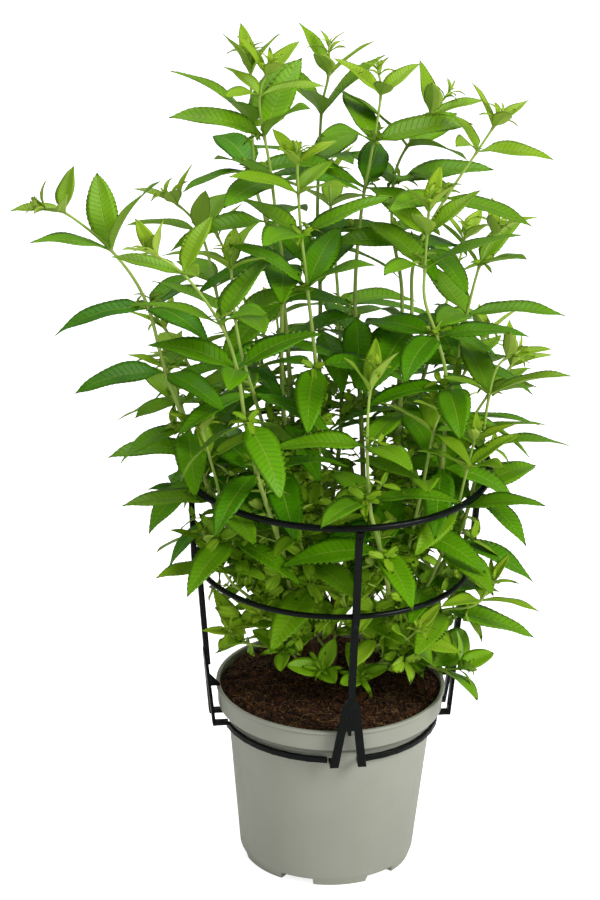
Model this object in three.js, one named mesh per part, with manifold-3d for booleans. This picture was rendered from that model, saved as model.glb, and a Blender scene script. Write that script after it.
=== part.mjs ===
// Lemon verbena growing in a nursery pot, inside a clip-on support cage.
// Millimetres, +Z up. The origin is the centre of the pot's underside, where it rests.

import * as THREE from 'three';
import { mergeVertices } from 'three/addons/utils/BufferGeometryUtils.js';
import Module from 'manifold-3d';

const wasm = await Module();
wasm.setup();

// ---------------------------------------------------------------- driving dimensions

const GAP = 0.3;                  // clear space kept between neighbouring pieces

// Pot: thin moulded wall, a deep collar under the rim, six feet round the base.
const RIM_RADIUS = 95;
const POT_HEIGHT = 155.2;
const BASE_RADIUS = 69.8;
const CORNER = 8;                 // height of the slanted lower edge of the wall
const WALL_AT_CORNER = 72.4;      // outer radius just above the lower edge
const WALL_AT_STRIP = 84.8;       // outer radius where the wall meets the strip
const WALL_THICKNESS = 1.8;
const STRIP_BOTTOM = 132.4;       // narrow step below the collar
const STRIP_RADIUS = 88;
const COLLAR_BOTTOM = 137.4;
const COLLAR_RADIUS = 93;
const BEAD_BOTTOM = 151.8;        // rounded bead along the rim's top edge
const BEAD_GROOVE = 0.7;
const FLOOR_UNDERSIDE = 5;        // raised drainage channel under the floor
const FLOOR_TOP = 7.6;
const HUB_RADIUS = 26;            // flat middle of the base, level with the feet
const FOOT_RING_INNER = 62.5;
const FEET = 6;
const FOOT_HEADING = -80;         // degrees, the middle of the front foot
const NOTCH_WIDTH = 27;
const NOTCH_HEIGHT = 6.2;
const DRAIN_RADIUS = 4;
const DRAIN_CIRCLE = 44;
const DRAINS = 6;
const POT_SEGMENTS = 28;

// Soil: fills the pot to just under the rim.
const SOIL_LEVEL = 150.6;
const SOIL_RELIEF = 1.6;
const SOIL_SEGMENTS = 16;
const ROOT_BALL_PLAY = 1.4;       // clear space that the soil's flat sides need inside the wall
const SOIL_EDGE_DROP = 1.6;

// Support cage: two rings, four leaning posts and a band under the collar.
const UPPER_RING_RADIUS = 124.8;
const UPPER_RING_HEIGHT = 350;
const UPPER_RING_WIDTH = 6;
const MIDDLE_RING_RADIUS = 111.4;
const MIDDLE_RING_HEIGHT = 266.7;
const MIDDLE_RING_WIDTH = 5;
const RING_SIDES = 5;
const RING_SEGMENTS = 32;
const POST_HEADINGS = [-81, 9, 99, 189];   // degrees, seen from above
const POST_WIDTH = 5.8;
const POST_DEPTH = 4.6;
const POST_FACE = [                        // [height, radius] up the outside of a post's bar
  [176, 105.4], [235, 110.6], [256, 112.8], [261, 116.4], [274, 117.8], [310, 119.8], [338, 121],
];
const HEAD_TAB = 3.4;             // the tab at a post's top that carries the upper ring
const HEAD_STOP = 3.6;            // and the stop inside the ring
const FOOT_PLATE_WIDTH = 14;
const LEG_SPREAD = 30;            // across both legs, at their lower ends
const LEG_WIDTH = 7;
const LEG_BOTTOM = 125.2;
const LEG_DEPTH = 2.6;            // the foot is thinner than the bar above it
const LEG_FACE = 97;              // radius of the legs' inner face at their lower ends
const LEG_LEAN = 0.115;           // outward for each millimetre up
const CROTCH_HEIGHT = 160.4;      // where the two legs part
const CROTCH_HALF_WIDTH = 3.4;
const SHOULDER_DROP = 7;          // from the plate's top down to its full width
const LEG_FLARE = 2.2;
const PLATE_TOP = 190;
const GUSSET_TOP = 167.5;
const GUSSET_REACH = 92.6;        // how far in over the rim the gusset comes
const GUSSET_ROOT = [102.4, 103.6];
const GUSSET_EDGE = 1.6;
const GUSSET_WIDTH = 2.4;
const BAND_RADIUS = 88.4;         // middle of the band that hugs the pot
const BAND_DEPTH = 3.2;
const BAND_HEIGHT = 5;
const BAND_MIDDLE = 126.6;
const BAND_END = 9.9;             // degrees from the middle of a post to the band's end
const BAND_STEPS = 7;
const NUB_BAND = 4;               // the quarter that has a small lug under it
const NUB_HEADING = 24;           // degrees from that quarter's post to its lug
const NUB_HALF_WIDTH = 1.8;
const NUB_DROP = 2;
const NUB_DEPTH = [-1.2, 2.2];    // inward and outward of the band's middle
const PRONG_HEIGHT = 3;
const PRONG_HALF_WIDTH = 3.2;
const PRONG_ENDS = [86.6, 99.2];  // radius of the tip and of the root

// Woody canes: bare at the soil, forking into the green shoots.
const HOLE_PLAY = 1.1;            // between a cane's foot and its hole in the soil
const CANE_RADIUS = 3.1;
const CANE_TOP_RADIUS = 2.3;
const CANE_SIDES = 4;
const CANE_STEPS = 5;

// Leaves: lance-shaped, toothed, in whorls of three along each shoot.
const LEAF_LENGTH = 79;
const LEAF_SLENDERNESS = 0.35;    // width over length
const ROUND_SLENDERNESS = 0.52;   // on the short shoots at the soil
const LEAF_HALF_THICKNESS = 0.6;
const SMALLEST_LEAF = 23;
const STEM_SIDES = 4;
const STEM_TIP_RADIUS = 0.8;
const STEM_TAPER = 1.3 / 300;     // added radius for each millimetre of a stem's length
const LONGEST_TAPER = 300;
const STEM_STEP = 75;             // length of a stem's straight stretches

// ---------------------------------------------------------------- materials

const matter = (color, roughness) => new THREE.MeshStandardMaterial({ color, roughness, metalness: 0 });
const potPlastic = matter(0xa9ac9f, 0.5);
const cagePlastic = matter(0x14211a, 0.25);
const soilMatter = matter(0x3a2318, 0.95);
const bark = matter(0x5b3d22, 0.85);
const foliage = matter(0x3f9a12, 0.55);

// ---------------------------------------------------------------- solids

const degrees = (angle) => angle * Math.PI / 180;
const vec = (x, y, z) => new THREE.Vector3(x, y, z);

/** A closed solid from a list of points and a list of corner triples. */
function solid(points, corners) {
  const mesh = new wasm.Mesh({
    numProp: 3,
    vertProperties: new Float32Array(points.flatMap((p) => [p.x, p.y, p.z])),
    triVerts: new Uint32Array(corners.flat()),
  });
  return new wasm.Manifold(mesh);
}

/** A three.js geometry, its shared corners merged, as a closed solid. */
function solidOf(geometry) {
  geometry.deleteAttribute('normal');
  geometry.deleteAttribute('uv');
  const merged = mergeVertices(geometry, 1e-4);
  const mesh = new wasm.Mesh({
    numProp: 3,
    vertProperties: new Float32Array(merged.attributes.position.array),
    triVerts: new Uint32Array(merged.index.array),
  });
  return new wasm.Manifold(mesh);
}

/** A solid as a named three.js mesh. */
function meshOf(name, body, material) {
  const { vertProperties, triVerts } = body.getMesh();
  const geometry = new THREE.BufferGeometry();
  geometry.setAttribute('position', new THREE.BufferAttribute(new Float32Array(vertProperties), 3));
  geometry.setIndex(new THREE.BufferAttribute(new Uint32Array(triVerts), 1));
  const mesh = new THREE.Mesh(geometry, material);
  mesh.name = name;
  return mesh;
}

const joined = (bodies) => bodies.reduce((sum, body) => sum.add(body));

/** A lathe solid round Z from a closed outline of [radius, height]. */
function turned(outline, segments) {
  const points = outline.map(([radius, height]) => new THREE.Vector2(radius, height));
  const geometry = new THREE.LatheGeometry(points, segments);
  geometry.rotateX(Math.PI / 2);
  return solidOf(geometry);
}

/** A box given by its lowest and highest corner. */
function block(low, high) {
  const geometry = new THREE.BoxGeometry(high[0] - low[0], high[1] - low[1], high[2] - low[2]);
  geometry.translate((low[0] + high[0]) / 2, (low[1] + high[1]) / 2, (low[2] + high[2]) / 2);
  return solidOf(geometry);
}

/** An upright cylinder between two heights. */
function upright(radius, bottom, top, x, y, segments) {
  const geometry = new THREE.CylinderGeometry(radius, radius, top - bottom, segments);
  geometry.rotateX(Math.PI / 2);
  geometry.translate(x, y, (bottom + top) / 2);
  return solidOf(geometry);
}

/** An outline in [outward, up] made `width` thick across it, centred on the X-Z plane. */
function plate(outline, width) {
  const shape = new THREE.Shape(outline.map(([x, z]) => new THREE.Vector2(x, z)));
  const geometry = new THREE.ExtrudeGeometry(shape, { depth: width, bevelEnabled: false, steps: 1 });
  geometry.translate(0, 0, -width / 2);
  geometry.rotateX(Math.PI / 2);
  return solidOf(geometry);
}

// ---------------------------------------------------------------- pot and soil

const wallRadius = (height) => WALL_AT_CORNER
  + (WALL_AT_STRIP - WALL_AT_CORNER) * (height - CORNER) / (STRIP_BOTTOM - CORNER);

/** The pot's section, from the middle of the base round the outside to the inside. */
function potOutline() {
  const inner = (height) => wallRadius(height) - WALL_THICKNESS;
  return [
    [0, 0],
    [HUB_RADIUS, 0],
    [HUB_RADIUS + 2, FLOOR_UNDERSIDE],
    [FOOT_RING_INNER - 2, FLOOR_UNDERSIDE],
    [FOOT_RING_INNER, 0],
    [BASE_RADIUS, 0],
    [WALL_AT_CORNER, CORNER],
    [WALL_AT_STRIP, STRIP_BOTTOM],
    [STRIP_RADIUS, STRIP_BOTTOM + 0.3],
    [STRIP_RADIUS, COLLAR_BOTTOM],
    [COLLAR_RADIUS, COLLAR_BOTTOM],
    [RIM_RADIUS - 0.6 - BEAD_GROOVE, BEAD_BOTTOM],
    [RIM_RADIUS, BEAD_BOTTOM + 0.7],
    [RIM_RADIUS - 0.8, POT_HEIGHT],
    [COLLAR_RADIUS - WALL_THICKNESS + 0.8, POT_HEIGHT],
    [COLLAR_RADIUS - WALL_THICKNESS, COLLAR_BOTTOM + WALL_THICKNESS],
    [inner(STRIP_BOTTOM), COLLAR_BOTTOM],
    [inner(FLOOR_TOP), FLOOR_TOP],
    [0, FLOOR_TOP],
  ];
}

/** The six notches between the feet, which let water out from under the floor. */
function footNotches() {
  return Array.from({ length: FEET }, (_, index) => {
    const low = [FOOT_RING_INNER - 5, -NOTCH_WIDTH / 2, -1];
    const high = [WALL_AT_CORNER + 2, NOTCH_WIDTH / 2, NOTCH_HEIGHT];
    return block(low, high).rotate([0, 0, FOOT_HEADING + (index + 0.5) * 360 / FEET]);
  });
}

/** The drain holes through the raised part of the floor. */
function drainHoles() {
  return Array.from({ length: DRAINS }, (_, index) => {
    const angle = degrees(index * 360 / DRAINS + 30);
    const x = DRAIN_CIRCLE * Math.cos(angle);
    const y = DRAIN_CIRCLE * Math.sin(angle);
    return upright(DRAIN_RADIUS, FLOOR_UNDERSIDE - 1, FLOOR_TOP + 1, x, y, 6);
  });
}

function makePot() {
  return [...footNotches(), ...drainHoles()].reduce(
    (pot, cut) => pot.subtract(cut),
    turned(potOutline(), POT_SEGMENTS),
  );
}

/** Low mounds and hollows in the soil's surface. */
function soilHeight(x, y) {
  const broad = Math.sin(x * 0.071 + 1.3) * Math.cos(y * 0.083 - 0.4);
  const fine = Math.sin(x * 0.19 - y * 0.11) * Math.sin(y * 0.23 + 0.7);
  return SOIL_LEVEL + SOIL_RELIEF * (broad + 0.5 * fine);
}

/** The root ball: rings of points from the middle of its top, down the wall, to its flat bottom. */
function makeSoil(caneFeet) {
  const lost = WALL_THICKNESS + GAP + ROOT_BALL_PLAY;
  const edge = COLLAR_RADIUS - lost;
  const neck = wallRadius(STRIP_BOTTOM) - lost;
  const foot = wallRadius(FLOOR_TOP) - lost;
  const rings = [22, 46, 68, edge - 4, edge, neck];
  const points = [vec(0, 0, soilHeight(0, 0))];
  const corners = [];
  const addRing = (radius, heightAt) => {
    for (let k = 0; k < SOIL_SEGMENTS; k += 1) {
      const angle = 2 * Math.PI * k / SOIL_SEGMENTS;
      const x = radius * Math.cos(angle);
      const y = radius * Math.sin(angle);
      points.push(vec(x, y, heightAt(x, y)));
    }
  };
  rings.slice(0, -2).forEach((radius) => addRing(radius, soilHeight));
  addRing(edge, () => SOIL_LEVEL - SOIL_EDGE_DROP);
  addRing(neck, () => COLLAR_BOTTOM + WALL_THICKNESS + GAP);
  addRing(foot, () => FLOOR_TOP + GAP);
  points.push(vec(0, 0, FLOOR_TOP + GAP));
  const at = (ring, k) => 1 + ring * SOIL_SEGMENTS + (k % SOIL_SEGMENTS);
  for (let k = 0; k < SOIL_SEGMENTS; k += 1) {
    corners.push([0, at(0, k), at(0, k + 1)]);
    for (let ring = 0; ring < rings.length; ring += 1) {
      corners.push([at(ring, k), at(ring + 1, k), at(ring + 1, k + 1)]);
      corners.push([at(ring, k), at(ring + 1, k + 1), at(ring, k + 1)]);
    }
    corners.push([points.length - 1, at(rings.length, k + 1), at(rings.length, k)]);
  }
  const holes = caneFeet.map(([x, y, bottom]) => upright(
    CANE_RADIUS + HOLE_PLAY, bottom - GAP, SOIL_LEVEL + 12, x, y, 6,
  ));
  return holes.reduce((soil, hole) => soil.subtract(hole), solid(points, corners));
}

// ---------------------------------------------------------------- support cage

/** A ring of round section, lying level. */
function makeRing(radius, height, width) {
  const outline = [];
  for (let k = 0; k <= RING_SIDES; k += 1) {
    const angle = 2 * Math.PI * (k + 0.5) / RING_SIDES;
    outline.push([radius + width / 2 * Math.cos(angle), height + width / 2 * Math.sin(angle)]);
  }
  return turned(outline, RING_SEGMENTS);
}

/** The post's bar in profile: leaning out, stepping out again above the middle ring. */
function postBar() {
  const inside = POST_FACE.map(([z, radius]) => [radius - POST_DEPTH, z]).reverse();
  const face = POST_FACE.map(([z, radius]) => [radius, z]);
  const underRing = UPPER_RING_HEIGHT - UPPER_RING_WIDTH / 2 - GAP;
  const besideRing = UPPER_RING_RADIUS - UPPER_RING_WIDTH / 2 - GAP - 0.5;
  const head = [
    [UPPER_RING_RADIUS + 2, underRing - HEAD_TAB],
    [UPPER_RING_RADIUS + 2, underRing],
    [besideRing, underRing],
    [besideRing, UPPER_RING_HEIGHT],
    [besideRing - HEAD_STOP, UPPER_RING_HEIGHT],
  ];
  return plate([...face, ...head, ...inside], POST_WIDTH);
}

/** The notch in a post's inner face that the middle ring sits in. */
function ringSocket() {
  const half = MIDDLE_RING_WIDTH / 2 + GAP;
  return block(
    [MIDDLE_RING_RADIUS - 2 * half, -POST_WIDTH, MIDDLE_RING_HEIGHT - half],
    [MIDDLE_RING_RADIUS + half, POST_WIDTH, MIDDLE_RING_HEIGHT + half],
  );
}

/** The A-shaped foot: a plate that parts into two legs, leaning with the bar. */
function postFoot() {
  const half = FOOT_PLATE_WIDTH / 2;
  const spread = LEG_SPREAD / 2;
  const right = [
    [POST_WIDTH / 2, PLATE_TOP],
    [half, PLATE_TOP - SHOULDER_DROP],
    [half + LEG_FLARE, CROTCH_HEIGHT + 4],
    [spread, LEG_BOTTOM],
    [spread - LEG_WIDTH, LEG_BOTTOM],
    [CROTCH_HALF_WIDTH, CROTCH_HEIGHT],
  ];
  const left = right.map(([side, up]) => [-side, up]).reverse();
  const shape = new THREE.Shape([...right, ...left].map(([side, up]) => new THREE.Vector2(side, up)));
  const geometry = new THREE.ExtrudeGeometry(shape, { depth: LEG_DEPTH, bevelEnabled: false, steps: 1 });
  geometry.rotateX(Math.PI / 2);
  geometry.rotateZ(Math.PI / 2);
  const position = geometry.attributes.position;
  for (let k = 0; k < position.count; k += 1) {
    const lean = (position.getZ(k) - LEG_BOTTOM) * LEG_LEAN;
    position.setX(k, position.getX(k) + LEG_FACE + lean);
  }
  return solidOf(geometry);
}

/** A gusset that rests on the rim, and the prongs that reach in below the collar. */
function postClip() {
  const rimTop = POT_HEIGHT + GAP;
  const [front, back] = GUSSET_ROOT;
  const gusset = plate([
    [back, GUSSET_TOP],
    [front, GUSSET_TOP],
    [GUSSET_REACH, rimTop + GUSSET_EDGE],
    [GUSSET_REACH, rimTop],
    [back - 1, rimTop],
  ], GUSSET_WIDTH);
  const [tip, root] = PRONG_ENDS;
  const prong = (side) => block(
    [tip, side - PRONG_HALF_WIDTH, LEG_BOTTOM],
    [root, side + PRONG_HALF_WIDTH, LEG_BOTTOM + PRONG_HEIGHT],
  );
  const reach = LEG_SPREAD / 2 - LEG_WIDTH / 2;
  return joined([gusset, prong(-reach), prong(reach)]);
}

function makePost(heading) {
  return joined([postBar(), postFoot(), postClip()]).subtract(ringSocket()).rotate([0, 0, heading]);
}

/** One quarter of the band, from one post's leg to the next, with a small nub below if it has one. */
function makeBand(heading, hasNub) {
  const from = degrees(heading + BAND_END);
  const to = degrees(heading + 90 - BAND_END);
  const points = [];
  const corners = [];
  for (let k = 0; k <= BAND_STEPS; k += 1) {
    const angle = from + (to - from) * k / BAND_STEPS;
    for (const [out, up] of [[-1, -1], [1, -1], [1, 1], [-1, 1]]) {
      const radius = BAND_RADIUS + out * BAND_DEPTH / 2;
      const z = BAND_MIDDLE + up * BAND_HEIGHT / 2;
      points.push(vec(radius * Math.cos(angle), radius * Math.sin(angle), z));
    }
  }
  for (let k = 0; k < BAND_STEPS; k += 1) {
    for (let side = 0; side < 4; side += 1) {
      const a = 4 * k + side;
      const b = 4 * k + (side + 1) % 4;
      corners.push([a, b + 4, b], [a, a + 4, b + 4]);
    }
  }
  const last = 4 * BAND_STEPS;
  corners.push([0, 1, 2], [0, 2, 3], [last, last + 2, last + 1], [last, last + 3, last + 2]);
  const band = solid(points, corners);
  if (!hasNub) return band;
  const [inward, outward] = NUB_DEPTH;
  const nub = block(
    [BAND_RADIUS + inward, -NUB_HALF_WIDTH, BAND_MIDDLE - BAND_HEIGHT / 2 - NUB_DROP],
    [BAND_RADIUS + outward, NUB_HALF_WIDTH, BAND_MIDDLE],
  ).rotate([0, 0, heading + NUB_HEADING]);
  return band.add(nub);
}

// ---------------------------------------------------------------- stems

/** A smooth route through hand-placed points. */
function routeThrough(points) {
  return new THREE.CatmullRomCurve3(points.map((p) => vec(...p)), false, 'catmullrom', 0.5);
}

/** A tapering closed tube along a route, `grow` fatter all round and turned on its line by `turn`. */
function tube(route, steps, sides, radiusAt, grow = 0, turn = 0) {
  const points = [];
  const corners = [];
  for (let k = 0; k <= steps; k += 1) {
    const along = k / steps;
    const centre = route.getPointAt(along);
    const tangent = route.getTangentAt(along);
    const across = vec(0.31, -0.95, 0).cross(tangent).normalize();
    const other = tangent.clone().cross(across);
    for (let side = 0; side < sides; side += 1) {
      const angle = 2 * Math.PI * side / sides + degrees(turn);
      const radius = radiusAt(along) + grow;
      points.push(centre.clone()
        .addScaledVector(across, radius * Math.cos(angle))
        .addScaledVector(other, radius * Math.sin(angle)));
    }
  }
  for (let k = 0; k < steps; k += 1) {
    for (let side = 0; side < sides; side += 1) {
      const a = sides * k + side;
      const b = sides * k + (side + 1) % sides;
      corners.push([a, b, b + sides], [a, b + sides, a + sides]);
    }
  }
  for (let side = 1; side + 1 < sides; side += 1) {
    const last = sides * steps;
    corners.push([0, side + 1, side], [last, last + side, last + side + 1]);
  }
  return solid(points, corners);
}

// ---------------------------------------------------------------- canes and shoots, by hand

// A cane's foot stands upright in the soil; the rest of its route leans out.
const CANES = {
  cane_1: [[-24, 18, 104], [-24, 18, 152], [-24, 18, 163], [-34, 10, 198], [-50, -4, 238]],
  cane_2: [[-12, 26, 104], [-12, 26, 152], [-12, 26, 163], [-20, 26, 210], [-28, 24, 262]],
  cane_3: [[2, 8, 104], [2, 8, 152], [2, 8, 163], [2, 4, 205], [-1, 1, 250]],
  cane_4: [[20, -2, 104], [20, -2, 152], [20, -2, 163], [27, -18, 200], [36, -38, 240]],
  cane_5: [[32, 16, 104], [32, 16, 152], [32, 16, 163], [42, 12, 205], [56, 8, 250]],
  cane_6: [[18, 38, 104], [18, 38, 152], [18, 38, 163], [22, 42, 210], [26, 46, 262]],
  cane_7: [[-2, 44, 104], [-2, 44, 152], [-2, 44, 163], [-8, 54, 210], [-14, 66, 262]],
};

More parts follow.
